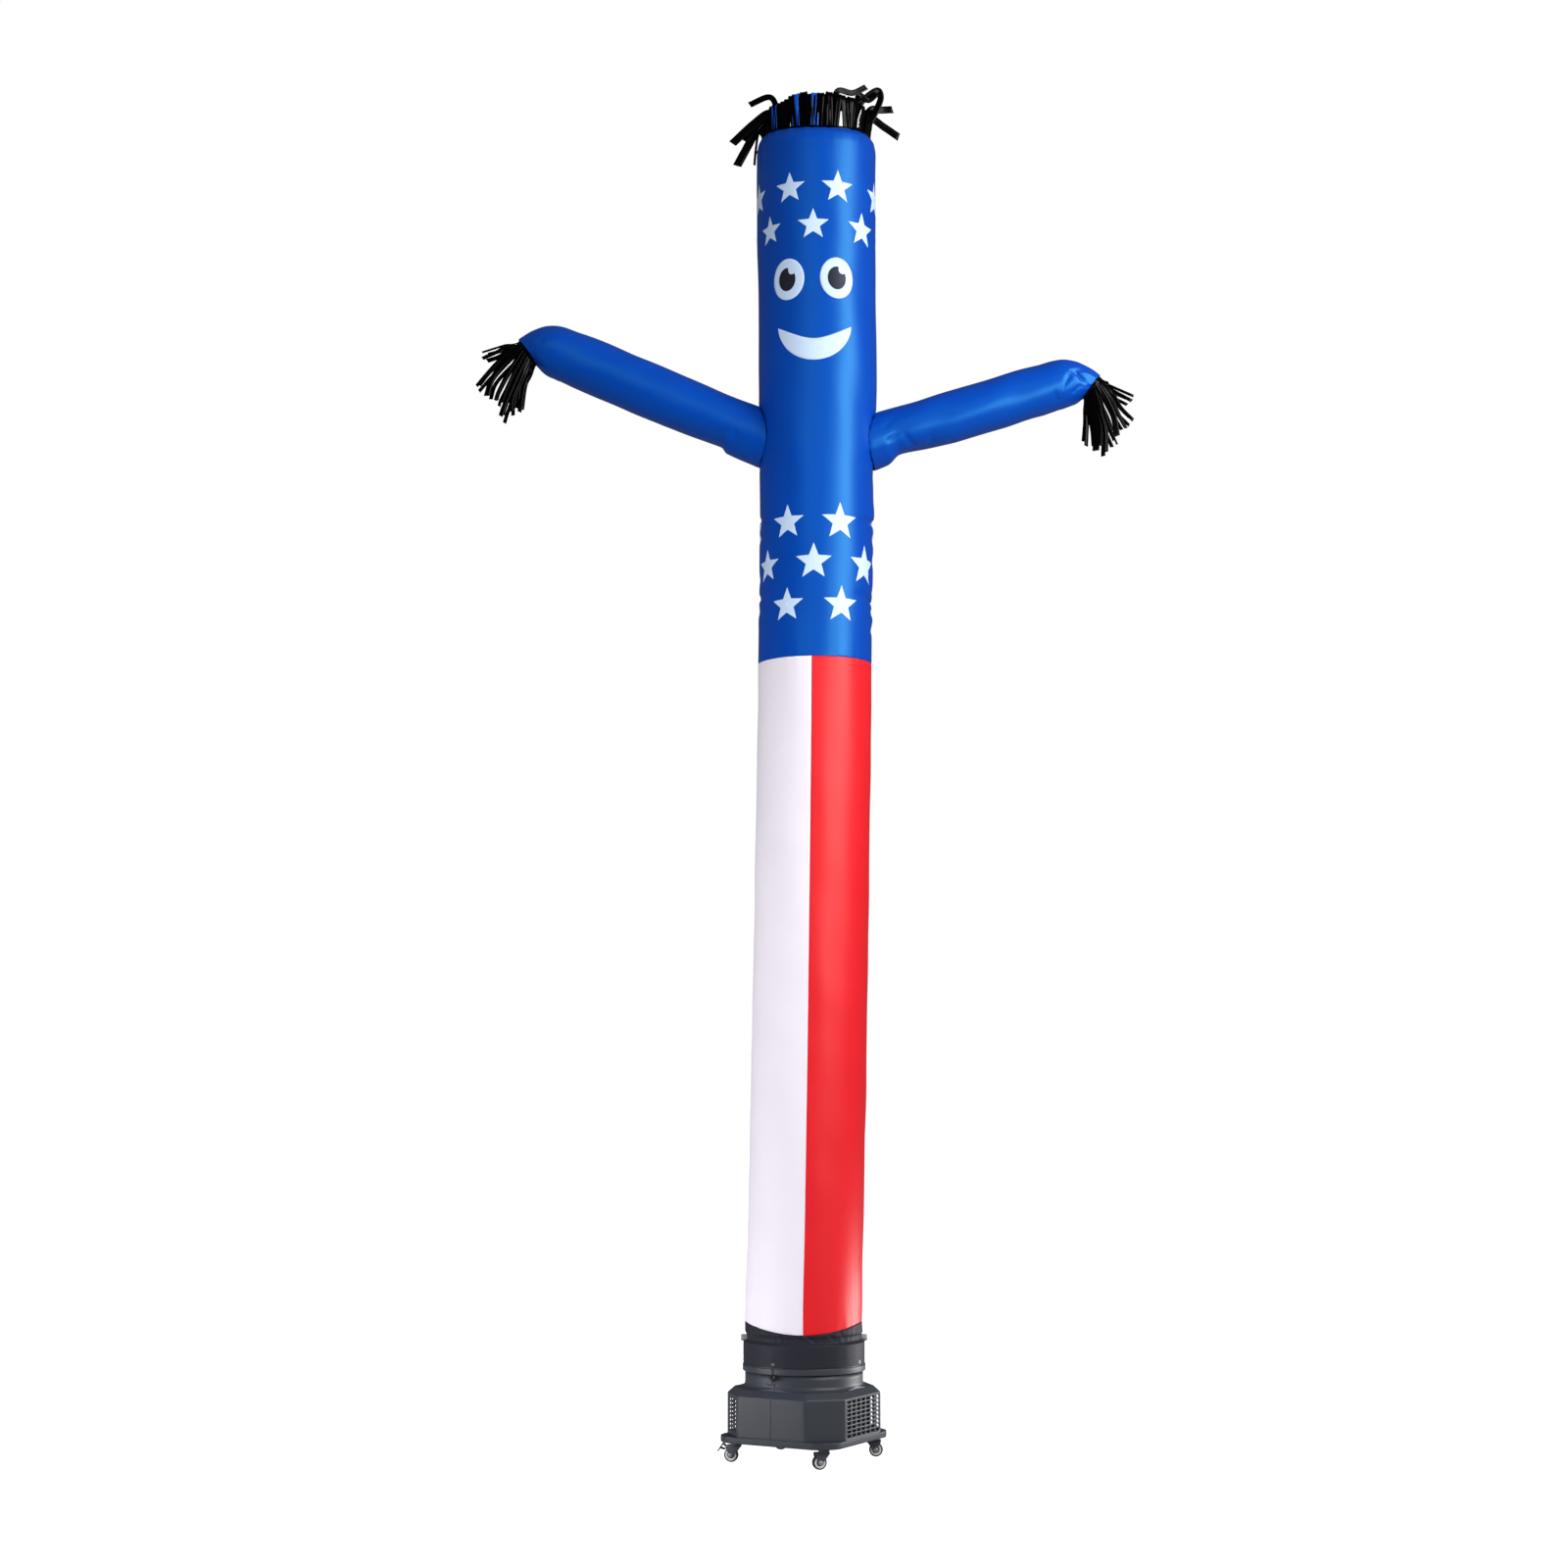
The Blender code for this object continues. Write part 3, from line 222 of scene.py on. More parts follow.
def fade(distance, length):
    """1 at a line, a third one length away from it and so on: exp(-distance / length)."""
    return np.exp(-distance / length)


def unit(vectors):
    """The same directions with a length of 1."""
    return vectors / np.linalg.norm(vectors, axis=-1, keepdims=True)


def turn(degrees):
    """The direction at an azimuth, as X and Y."""
    angle = np.radians(degrees)
    return np.sin(angle), -np.cos(angle)


def apart(degrees, middle):
    """How far an azimuth is from another, from -180 to 180."""
    return (degrees - middle + 180.0) % 360.0 - 180.0


# %% [markdown]
# ## Finishes
#
# All the materials are made from nodes. `node` adds one node, gives it its settings and joins its
# inputs. Colours are written as a designer reads them off a screen, in hex, and one function turns
# them into the linear light that a renderer adds up.


# %% Colours and nodes
def linear(hex_colour):
    """An sRGB colour such as #0048B0 as linear red, green and blue."""
    parts = np.array([int(hex_colour[k : k + 2], 16) / 255 for k in (1, 3, 5)])
    return np.where(parts <= 0.04045, parts / 12.92, ((parts + 0.055) / 1.055) ** 2.4)


def rgba(hex_colour):
    """The same with an alpha of 1, as a colour socket takes it."""
    return (*linear(hex_colour), 1.0)


def node(tree, kind, inputs=None, **settings):
    """Adds one node; inputs gives each socket a value or another node's output."""
    made = tree.nodes.new(kind)
    for name, value in settings.items():
        setattr(made, name, value)
    for name, value in (inputs or {}).items():
        if isinstance(value, bpy.types.NodeSocket):
            tree.links.new(value, made.inputs[name])
        else:
            made.inputs[name].default_value = value
    return made


def new_finish(name):
    """An empty material and its output."""
    made = bpy.data.materials.new(name)
    made.use_nodes = True
    made.node_tree.nodes.clear()
    return made, made.node_tree, node(made.node_tree, "ShaderNodeOutputMaterial")


# %% [markdown]
# ## Coated polyester
#
# The cloth is woven polyester filament with a thin coating that holds the air. The filaments shine
# through their own dye, so a highlight on blue cloth is light blue and not white: the specular tint
# does that. The threads are really about 0.35 mm apart, which is far too fine to show on a figure of
# this height, so the weave is drawn with threads of 2 mm. A wide, faint unevenness stands for the
# way thin cloth never pulls quite evenly.

# %% Coated polyester
THREAD = 2.0 * MM
# A wave texture of scale 1 repeats every 0.314 m, which is 2 pi / 20
WEAVE_SCALE = 0.314 / THREAD


def polyester(name, light, dark, roughness, tint, level, uneven=0.25 * MM, weave_depth=0.03 * MM):
    """A cloth or film: two near colours, a weave on its flat UV, and a wide unevenness over that."""
    made, tree, output = new_finish(name)
    place = node(tree, "ShaderNodeUVMap", uv_map="cloth").outputs["UV"]
    across = node(tree, "ShaderNodeTexWave", {"Vector": place, "Scale": WEAVE_SCALE}, bands_direction="X")
    along = node(tree, "ShaderNodeTexWave", {"Vector": place, "Scale": WEAVE_SCALE}, bands_direction="Y")
    threads = node(
        tree, "ShaderNodeMath", {0: across.outputs["Fac"], 1: along.outputs["Fac"]}, operation="MULTIPLY"
    )
    weave = node(
        tree, "ShaderNodeBump", {"Height": threads.outputs[0], "Distance": weave_depth, "Strength": 1.0}
    )
    where = node(tree, "ShaderNodeTexCoord").outputs["Object"]
    slow = node(tree, "ShaderNodeTexNoise", {"Vector": where, "Scale": 9.0, "Detail": 3.0})
    pull = node(
        tree,
        "ShaderNodeBump",
        {"Height": slow.outputs["Fac"], "Distance": uneven, "Normal": weave.outputs[0]},
    )
    mix = node(
        tree,
        "ShaderNodeMix",
        {0: slow.outputs["Fac"], 6: rgba(dark), 7: rgba(light)},
        data_type="RGBA",
    )
    colour = mix.outputs[2]
    shader = node(
        tree,
        "ShaderNodeBsdfPrincipled",
        {
            "Base Color": colour,
            "Roughness": roughness,
            "Specular IOR Level": level,
            "Specular Tint": rgba(tint),
            "Normal": pull.outputs[0],
        },
    )
    tree.links.new(shader.outputs[0], output.inputs["Surface"])
    return made


BLUE_CLOTH = polyester("blue_coated_polyester", "#003A9D", "#003594", 0.38, "#66E4FF", 0.62)
RED_CLOTH = polyester("red_coated_polyester", "#CE1520", "#C6101A", 0.42, "#FFB4B0", 0.60)
WHITE_CLOTH = polyester("white_coated_polyester", "#D5CFDA", "#D0CAD5", 0.50, "#FFFFFF", 0.3)
BLACK_CLOTH = polyester("black_coated_polyester", "#25252D", "#202027", 0.55, "#C8C8D8", 0.22)
PRINT_WHITE = polyester("white_printing_on_blue", "#B4C7DE", "#AEC1DA", 0.42, "#E8F4FF", 0.35)
PRINT_BLACK = polyester("black_printing_on_white", "#20202A", "#191922", 0.42, "#B8C8E0", 0.35)
# The fringes are smooth film, which has no weave
FRINGE_BLACK = polyester("black_fringe_film", "#020203", "#010101", 0.18, "#FFFFFF", 0.08, 0.8 * MM, 0.0)
FRINGE_BLUE = polyester("blue_fringe_film", "#1656C4", "#0843A8", 0.30, "#9CCBFF", 0.5, 0.8 * MM, 0.0)

# %% [markdown]
# ## Moulded plastic, paint, rubber and bright metal
#
# The blower's body is ABS, moulded against a lightly textured steel tool, so it is matt with a fine
# grain. The casters are pressed steel under a speckled powder coat. Their tyres are rubber and their
# hubs glossy nylon. Each grain is a noise whose size is a real one in millimetres, or the finest that
# still shows.


# %% Plastic, paint, rubber and metal
def grained(name, colour, other, roughness, grain, depth, metallic=0.0, level=0.5, coat=0.0):
    """A hard surface: two near colours mixed by a grain of that size, which also raises the surface."""
    made, tree, output = new_finish(name)
    where = node(tree, "ShaderNodeTexCoord").outputs["Object"]
    noise = node(tree, "ShaderNodeTexNoise", {"Vector": where, "Scale": 1.0 / grain, "Detail": 2.0})
    mix = node(
        tree,
        "ShaderNodeMix",
        {0: noise.outputs["Fac"], 6: rgba(other), 7: rgba(colour)},
        data_type="RGBA",
    )
    bump = node(tree, "ShaderNodeBump", {"Height": noise.outputs["Fac"], "Distance": depth})
    shader = node(
        tree,
        "ShaderNodeBsdfPrincipled",
        {
            "Base Color": mix.outputs[2],
            "Roughness": roughness,
            "Metallic": metallic,
            "Specular IOR Level": level,
            "Coat Weight": coat,
            "Normal": bump.outputs[0],
        },
    )
    tree.links.new(shader.outputs[0], output.inputs["Surface"])
    return made


GREY_ABS = grained("grey_moulded_abs", "#2F323B", "#292C34", 0.45, 3.0 * MM, 0.05 * MM, level=0.4)
PLATE_ABS = grained("grey_base_plate_abs", "#2F323B", "#292C34", 0.48, 3.0 * MM, 0.05 * MM, level=0.35)
LIGHT_ABS = grained("light_grey_moulded_abs", "#909294", "#86888B", 0.40, 3.0 * MM, 0.04 * MM)
BLACK_ABS = grained("black_gloss_abs", "#0E0E10", "#0A0A0B", 0.16, 4.0 * MM, 0.02 * MM, coat=0.3)
POWDER_COAT = grained("grey_powder_coated_steel", "#474A55", "#2B2D35", 0.38, 1.6 * MM, 0.08 * MM)
BLACK_STEEL = grained("black_painted_steel", "#1B1C20", "#131417", 0.35, 2.0 * MM, 0.05 * MM)
RUBBER = grained("black_tyre_rubber", "#17171A", "#101012", 0.55, 1.5 * MM, 0.06 * MM)
NYLON = grained("white_moulded_nylon", "#D6D7D6", "#C8CACA", 0.30, 3.0 * MM, 0.02 * MM)
# A plain dark grey for the ring round each wheel's bolt, inside the white hub
DARK_RING_GREY = grained("dark_ring_grey", "#2A2B2F", "#222327", 0.35, 3.0 * MM, 0.02 * MM)
ZINC = grained("bright_zinc_plate", "#B4B4B8", "#A2A2A6", 0.42, 5.0 * MM, 0.01 * MM, metallic=1.0)
CORD_BLACK = grained("black_braided_cord", "#141416", "#0C0C0E", 0.60, 1.0 * MM, 0.20 * MM)

# %% [markdown]
# ## The drawcord and its lock
#
# The skirt's hem is drawn tight by a cord that runs inside it. Its free end comes out of an eyelet,
# hangs straight down through a spring lock and curls up below it. A cord this short is a curve with a
# round bevel. The lock is turned: a profile of distances along its axis and radii, carried round.


# %% Round things
def soften(points, radius, steps=4):
    """Rounds the corners of an open line: each corner becomes a short curve (quadratic Bezier)."""
    points = np.asarray(points, float)
    out = [points[:1]]
    for before, corner, after in zip(points[:-2], points[1:-1], points[2:]):
        ends = []
        for other in (before, after):
            way = other - corner
            size = np.linalg.norm(way)
            ends.append(corner + way / size * min(radius, size * 0.45))
        t = np.linspace(0.0, 1.0, steps + 1)[:, None]
        out.append(ends[0] * (1 - t) ** 2 + 2 * corner * t * (1 - t) + ends[1] * t * t)
    return np.concatenate([*out, points[-1:]])


def round_angles(count):
    """Even steps round a circle, in radians."""
    return np.arange(count) * 2 * np.pi / count


def lathe_points(profile, start, axis, segments):
    """Rings of (distance along, radius) round the axis: start + along * axis + radius * a spoke."""
    start, axis = np.array(start, float), unit(np.array(axis, float))
    helper = np.array((0.0, 0.0, 1.0)) if abs(axis[2]) < 0.9 else np.array((1.0, 0.0, 0.0))
    side = unit(np.cross(axis, helper))
    over = np.cross(axis, side)
    angle = round_angles(segments)
    spokes = np.cos(angle)[:, None] * side + np.sin(angle)[:, None] * over
    profile = np.asarray(profile, float)
    return start + profile[:, :1, None] * axis + profile[:, 1:, None] * spokes[None]


def merged(piece, distance=0.01 * MM):
    """Joins points that coincide, such as those of a pole or a seam, and turns the faces outwards."""

    def close(work):
        bmesh.ops.remove_doubles(work, verts=work.verts, dist=distance)
        bmesh.ops.recalc_face_normals(work, faces=work.faces)

    return reworked(piece, close)


def apply_modifier(piece, name):
    """Makes what a modifier does a part of the piece's own mesh."""
    with bpy.context.temp_override(object=piece, active_object=piece):
        bpy.ops.object.modifier_apply(modifier=name)


def turned(name, profile, start, axis, finish, segments=48, sharp=35.0):
    """A turned solid. The profile starts and ends on the axis, or is a closed loop for a ring."""
    points = lathe_points(profile, start, axis, segments)
    piece = merged(grid_object(name, points, finish, wrap=True))
    piece.data.set_sharp_from_angle(angle=np.radians(sharp))
    return piece


def joined(name, parts):
    """Makes one piece of several, which keep their materials."""
    with bpy.context.temp_override(
        active_object=parts[0], selected_editable_objects=parts, object=parts[0]
    ):
        bpy.ops.object.join()
    parts[0].name = parts[0].data.name = name
    return parts[0]


# %% The drawcord
EYELET_Z = 0.3765
EYELET_DEGS = {"left": -30.5, "right": 65.0}
CORD_DEG = EYELET_DEGS["left"]
CORD_D = 3 * MM
HANG_R = 0.2405
# Radius, aside to the right, height
CORD_ROUTE = (
    (0.2316, 0.0, EYELET_Z),
    (0.2350, 0.0, 0.3762),
    (0.2388, 0.0, 0.3738),
    (HANG_R, 0.0, 0.3690),
    (HANG_R, 0.0, 0.3560),
    (HANG_R, 0.0, 0.3430),
    (HANG_R, 0.0, 0.3360),
    (HANG_R, 0.0, 0.3260),
    (HANG_R, 0.0, 0.3160),
    (HANG_R, 0.0, 0.3120),
    (HANG_R, -0.0030, 0.3050),
    (HANG_R, -0.0095, 0.3008),
    (HANG_R, -0.0170, 0.3020),
    (HANG_R, -0.0215, 0.3080),
)
CORD_STEP = 1.5 * MM


def smooth_paths(knots, per_span):
    """Smooth curves through knots (curves, knots, 3), all at once (Catmull-Rom)."""
    knots = np.asarray(knots, float)
    first = 2 * knots[:, :1] - knots[:, 1:2]
    last = 2 * knots[:, -1:] - knots[:, -2:-1]
    ends = np.concatenate([first, knots, last], axis=1)
    a, b, c, d = (ends[:, k : ends.shape[1] - 3 + k, None] for k in range(4))
    t = (np.arange(per_span) / per_span)[None, None, :, None]
    line = 2 * b + (c - a) * t + (2 * a - 5 * b + 4 * c - d) * t**2 + (3 * b - a - 3 * c + d) * t**3
    return np.concatenate([(line / 2).reshape(len(knots), -1, 3), knots[:, -1:]], axis=1)


def evenly(line, step):
    """Points about a step apart on a line, and the line's length."""
    along = np.concatenate([[0.0], np.cumsum(np.linalg.norm(np.diff(line, axis=0), axis=1))])
    stops = np.linspace(0.0, along[-1], round(along[-1] / step) + 1)
    return np.stack([np.interp(stops, along, line[:, axis]) for axis in range(3)], axis=1), along[-1]


cord_x, cord_y = turn(CORD_DEG)
route = [(r * cord_x - side * cord_y, r * cord_y + side * cord_x, z) for r, side, z in CORD_ROUTE]
cord_line, cord_length = evenly(smooth_paths([route], 16)[0], CORD_STEP)
curve = bpy.data.curves.new("drawcord_end", "CURVE")
curve.dimensions = "3D"
curve.bevel_depth, curve.bevel_resolution, curve.use_fill_caps = CORD_D / 2, 4, True
spline = curve.splines.new("POLY")
spline.points.add(len(cord_line) - 1)
spline.points.foreach_set("co", np.c_[cord_line, np.ones(len(cord_line))].ravel())
curve.materials.append(CORD_BLACK)
drawcord = in_scene("drawcord_end", curve)
print("drawcord:", round(cord_length * 1000, 1), "mm")

# %% The cord lock and the eyelets
LOCK_AXIS_DEG = 27.0
LOCK_Z = 0.3265
LOCK_BACK = 8 * MM
LOCK_PROFILE = (
    (0.0, 0.0),
    (0.0, 6.5 * MM),
    (1.5 * MM, 8.5 * MM),
    (13.0 * MM, 8.5 * MM),
    (14.0 * MM, 6.0 * MM),
    (17.0 * MM, 6.0 * MM),
    (17.5 * MM, 10.0 * MM),
    (22.0 * MM, 10.4 * MM),
    (24.5 * MM, 7.5 * MM),
    (24.5 * MM, 0.0),
)
hang = np.array((HANG_R * cord_x, HANG_R * cord_y, LOCK_Z))
lock_axis = np.array((*turn(LOCK_AXIS_DEG), 0.0))
cord_lock = turned(
    "cord_lock_barrel", soften(LOCK_PROFILE, 1.5 * MM), hang - lock_axis * LOCK_BACK, lock_axis, BLACK_ABS
)
bore = turned(
    "cord_lock_bore",
    ((-0.02, 0.0), (-0.02, 1.9 * MM), (0.02, 1.9 * MM), (0.02, 0.0)),
    hang,
    (0.0, 0.0, 1.0),
    BLACK_ABS,
    segments=24,
)
cutter = cord_lock.modifiers.new("Bore", "BOOLEAN")
cutter.operation, cutter.solver, cutter.object = "DIFFERENCE", "EXACT", bore
apply_modifier(cord_lock, "Bore")
bpy.data.objects.remove(bore)

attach(drawcord, "root")
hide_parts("drawcord")
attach(cord_lock, "root")
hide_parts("cord_lock")

EYELET_FACE_R = 0.2331
# A rolled ring: distance out from the cloth, radius
EYELET_PROFILE = ((0.0, 2.9), (0.0, 6.4), (0.5, 6.6), (1.3, 5.6), (1.5, 4.4), (1.0, 3.1), (0.0, 2.9))
for side, azimuth in EYELET_DEGS.items():
    x, y = turn(azimuth)
    ring = turned(
        f"eyelet_ring_{side}",
        soften(np.array(EYELET_PROFILE) * MM, 0.4 * MM, 3),
        (EYELET_FACE_R * x, EYELET_FACE_R * y, EYELET_Z),
        (x, y, 0.0),
        ZINC,
        segments=32,
    )
    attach(ring, "root")
    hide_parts(f"eyelet_{side}")

# %% [markdown]
# ## The inflated tube
#
# Air makes a cloth tube round, and only its seams, its creases and the way it is cut make it uneven.
# So the tube is a circle at every height, with a radius and a centre from the cutter's table, and the
# unevenness is a depth taken off the radius. It could be simulated, but every crease has its known
# place here, and a formula puts it there each time. The same function serves every sheet of the tube
# and everything that is printed on it, so the printing lies on the cloth wherever the cloth goes.

# %% The tube's shape
# Height, centre X, outer radius
SECTION_TABLE = (
    (0.365, 0.000, 0.2340),
    (0.446, 0.000, 0.2340),
    (0.457, 0.000, 0.2192),
    (0.470, 0.000, 0.2192),
    (0.486, -0.001, 0.2250),
    (0.524, -0.002, 0.2260),
    (0.850, 0.006, 0.2240),
    (1.450, 0.019, 0.2245),
    (2.220, 0.033, 0.2245),
    (2.840, 0.043, 0.2250),
    (3.080, 0.0455, 0.2245),
    (3.550, 0.052, 0.2270),
    (3.790, 0.0525, 0.2275),
    (4.270, 0.059, 0.2380),
    (4.520, 0.056, 0.2365),
    (4.760, 0.0545, 0.2390),
    (5.150, 0.0535, 0.2415),
    (5.300, 0.0530, 0.2415),
)
CLOTH = 1.2 * MM
GAP = 0.4 * MM
# The tube's usual radii where a length round it is measured: at the folds, the seams, the arms, and
# for the flat cloth of the panels and of the upper body
FOLD_R, SEAM_R, UPPER_R, PANEL_R, BODY_FLAT_R = 0.226, 0.225, 0.234, 0.2245, 0.2335
SEAM_HALF = 4 * MM
WAIST_SEAM_Z = 3.082
SKIRT_SEAM_Z, SKIRT_SEAM_DIP = 0.5055, 0.0185
RIM_Z, RIM_DIP = 5.2226, 0.0096
# The crown gathers in below its rim: depth below the rim, radius lost there
CROWN_DEPTHS, CROWN_LOSSES = (0.0, 0.022, 0.060, 0.2), (0.0185, 0.005, 0.0, 0.0)
SEAM_FOOT_DEG, SEAM_TOP_DEG = -1.0, -4.0

# Folds that the waist, the armpits and the seams draw into the cloth. Each runs from its deep end
# (azimuth, height) to its shallow end (azimuth, height), with a depth and a half width in millimetres.
TUBE_FOLDS = (
    (97, 3.652, 50, 3.638, 13, 12),
    (96, 3.690, 62, 3.720, -3, 26),
    (94, 3.575, 58, 3.600, 5, 20),
    (92, 3.500, 64, 3.470, 4, 24),
    (97, 3.322, 46, 3.346, 14, 13),
    (94, 3.362, 54, 3.432, 6, 17),
    (92, 3.300, 60, 3.236, 6, 18),
    (92, 3.218, 64, 3.210, 6, 13),
    (90, 3.262, 66, 3.272, -3, 16),
    (-98, 3.668, -60, 3.654, 8, 11),
    (-94, 3.588, -66, 3.580, 6, 11),
    (-98, 3.350, -58, 3.334, 9, 12),
    (-92, 3.300, -68, 3.260, 5, 16),
    (-92, 3.420, -66, 3.450, 4, 20),
    (150, 3.610, 112, 3.640, 8, 18),
    (-150, 3.345, -114, 3.325, 8, 18),
    (168, 3.330, 134, 3.350, 6, 20),
    (-166, 3.600, -128, 3.620, 6, 20),
    (84, 3.868, 50, 3.770, 4, 15),
    (88, 3.850, 64, 3.735, 4, 17),
    (74, 3.905, 44, 3.850, 3, 16),
    (-84, 3.880, -58, 3.800, 3, 15),
    (-78, 3.905, -52, 3.862, 3, 14),
    (64, 4.060, 42, 4.110, 2, 20),
    (-66, 4.070, -46, 4.120, 2, 20),
    (120, 3.890, 142, 3.820, 4, 18),
    (-120, 3.890, -140, 3.830, 4, 18),
)


def dipping(level, dip, degrees):
    """A seam line that is low at the front and the back and high at the sides."""
    return level - dip * np.cos(2 * np.radians(degrees))


def skirt_seam(degrees):
    """The height of the seam between the skirt and the panels."""
    return dipping(SKIRT_SEAM_Z, SKIRT_SEAM_DIP, degrees)


def rim_line(degrees):
    """The height of the open rim."""
    return dipping(RIM_Z, RIM_DIP, degrees)


def panel_seam(z):
    """The front seam's azimuth, which drifts a little on its way up."""
    return np.interp(z, (0.5, WAIST_SEAM_Z), (SEAM_FOOT_DEG, SEAM_TOP_DEG))


def tube_middle(z):
    """The X of the circle's centre at a height."""
    heights, centres, _ = np.array(SECTION_TABLE).T
    return eased(z, heights, centres)


def bare_radius(z):
    """The radius at a height before anything is taken off it."""
    heights, _, radii = np.array(SECTION_TABLE).T
    return eased(z, heights, radii)


def fold_depth(across, along, table):
    """The depth of all folds at points of the flat cloth, in metres.

    Each fold is a trough round a straight line. It is a bell across the line, and it fades from the
    line's start to its end with the square of the way.
    """
    depth = np.zeros(np.broadcast_shapes(across.shape, along.shape))
    for start_u, start_v, end_u, end_v, deep, half in table:
        run = np.array((end_u - start_u, end_v - start_v))
        u, v = across - start_u, along - start_v
        way = np.clip((u * run[0] + v * run[1]) / (run @ run), 0.0, 1.0)
        away = (u - way * run[0]) ** 2 + (v - way * run[1]) ** 2
        depth = depth + deep * MM * (1 - 0.85 * way**2) * np.exp(-away / (half * MM) ** 2)
    return depth


def folds_round(degrees, z, table):
    """Folds given by azimuth and height, each measured round the tube from its own start."""
    total = 0.0
    for start, start_z, end, end_z, deep, half in table:
        metres = np.radians(apart(degrees, start)) * FOLD_R
        run = np.radians(end - start) * FOLD_R
        total = total + fold_depth(metres, z, ((0.0, start_z, run, end_z, deep, half),))
    return total


def ripples(degrees, least, most, seed):
    """Whole waves round the tube, a few of them added, from -1 to 1."""
    draw = np.random.default_rng(seed)
    counts = draw.integers(least, most, 6)
    phases = draw.uniform(0.0, 2 * np.pi, 6)
    angle = np.radians(degrees)
    return sum(np.cos(n * angle + p) for n, p in zip(counts, phases)) / 3.0


def slow_waves(degrees, z):
    """The wide unevenness of cloth under air: a few crossing waves, about a millimetre high."""
    draw = np.random.default_rng(7)
    angle, total = np.radians(degrees), 0.0
    for _ in range(7):
        turns, length = draw.integers(2, 8), draw.uniform(0.25, 0.9)
        total = total + np.cos(turns * angle + 2 * np.pi * z / length + draw.uniform(0.0, 6.28))
    return total * 0.35 * MM


# Each arm's azimuth and height on the tube, and the radius of the seam round it
ARM_LEVELS = {"left": (-90.0, 4.006), "right": (90.0, 3.994)}
ARM_SEAM_R = 0.108


def arm_pucker(degrees, z, side_deg, level):
    """Short folds that stand round an arm's seam and die out within a hand's width of it."""
    u = np.radians(apart(degrees, side_deg)) * UPPER_R
    away = np.hypot(u, z - level)
    angle = np.arctan2(z - level, u)
    waves = np.cos(13 * angle + 1.0) + 0.7 * np.cos(21 * angle + 2.0) + 0.5 * np.cos(8 * angle)
    near = fade(np.maximum(away - ARM_SEAM_R, 0.0), 0.035) * (away < 0.30)
    return 1.1 * MM * waves * near + 1.5 * MM * bell(away - ARM_SEAM_R, 10 * MM)


def tube_radius(degrees, z):
    """The tube's outer radius: the table's, less its folds, seams, puckers and gathers."""
    foot = skirt_seam(degrees)
    below_rim = np.maximum(rim_line(degrees) - z, 0.0)
    depth = folds_round(degrees, z, TUBE_FOLDS) + eased(below_rim, CROWN_DEPTHS, CROWN_LOSSES)
    # The gathers at the rim, the waist and the foot, and the groove that each cross seam pulls in
    depth = depth + 1.6 * MM * ripples(degrees, 18, 46, 3) * fade(below_rim, 0.030)
    depth = depth + 1.0 * MM * ripples(degrees, 14, 40, 4) * fade(np.abs(z - WAIST_SEAM_Z), 0.035)
    depth = depth + 1.2 * MM * bell(z - WAIST_SEAM_Z, SEAM_HALF)
    depth = depth + 0.8 * MM * ripples(degrees, 16, 40, 5) * fade(np.maximum(z - foot, 0.0), 0.035)
    depth = depth + 1.2 * MM * bell(z - foot, SEAM_HALF) * (z > foot - 0.02)
    for seam in (panel_seam(z), panel_seam(z) + 180.0):
        away = np.radians(apart(degrees, seam)) * SEAM_R
        depth = depth + 1.0 * MM * bell(away, SEAM_HALF) * (z < WAIST_SEAM_Z)
    for side_deg, level in ARM_LEVELS.values():
        depth = depth + arm_pucker(degrees, z, side_deg, level)
    above_skirt = ramp(z, 0.49, 0.60)
    return bare_radius(z) - depth + slow_waves(degrees, z) * above_skirt


def tube_points(degrees, z, out=0.0):
    """Points on the tube: centre X + r sin a, -r cos a, z, where r is the radius there plus out."""
    degrees, z = np.broadcast_arrays(np.asarray(degrees, float), np.asarray(z, float))
    radius = tube_radius(degrees, z) + out
    x, y = turn(degrees)
    return np.stack([tube_middle(z) + radius * x, radius * y, z], axis=-1)


# %% [markdown]
# ## The blue upper body
#
# The upper body is one sheet of blue cloth from the waist seam to the crown, with a hole on each side
# where an arm is sewn in. It is a grid of rows and columns like the rest. The rows stand closer where
# the waist is creased and where the crown gathers. At the arm holes the nearest points move onto the
# edge of the hole, so that the hole is round and not a staircase.

# %% The blue upper body
BODY_COLUMNS = 180
CROWN_FOOT_Z, CROWN_TALL = 5.12, 0.10
ARM_HOLE, ARM_HOLE_REACH = 0.1035, 5 * MM
# A sleeve's rings from the body to the cuff: X, Z, radius, and how far the ring's top leans towards
# +X, in degrees
SLEEVE_LEFT = (
    (-0.0800, 3.9650, 0.1120, 23.4),
    (-0.2000, 4.0170, 0.1110, 23.4),
    (-0.3000, 4.0600, 0.1080, 23.4),
    (-0.4500, 4.1250, 0.1090, 23.4),
    (-0.7000, 4.2330, 0.1090, 23.4),
    (-0.8800, 4.3110, 0.1090, 22.0),
    (-0.9300, 4.3310, 0.1082, 13.4),
    (-0.9800, 4.3500, 0.1096, 2.6),
    (-1.0235, 4.3565, 0.1038, -6.3),
    (-1.0600, 4.3535, 0.0925, -15.8),
    (-1.0870, 4.3520, 0.0785, -24.9),
    (-1.1086, 4.3526, 0.0640, -36.1),
)
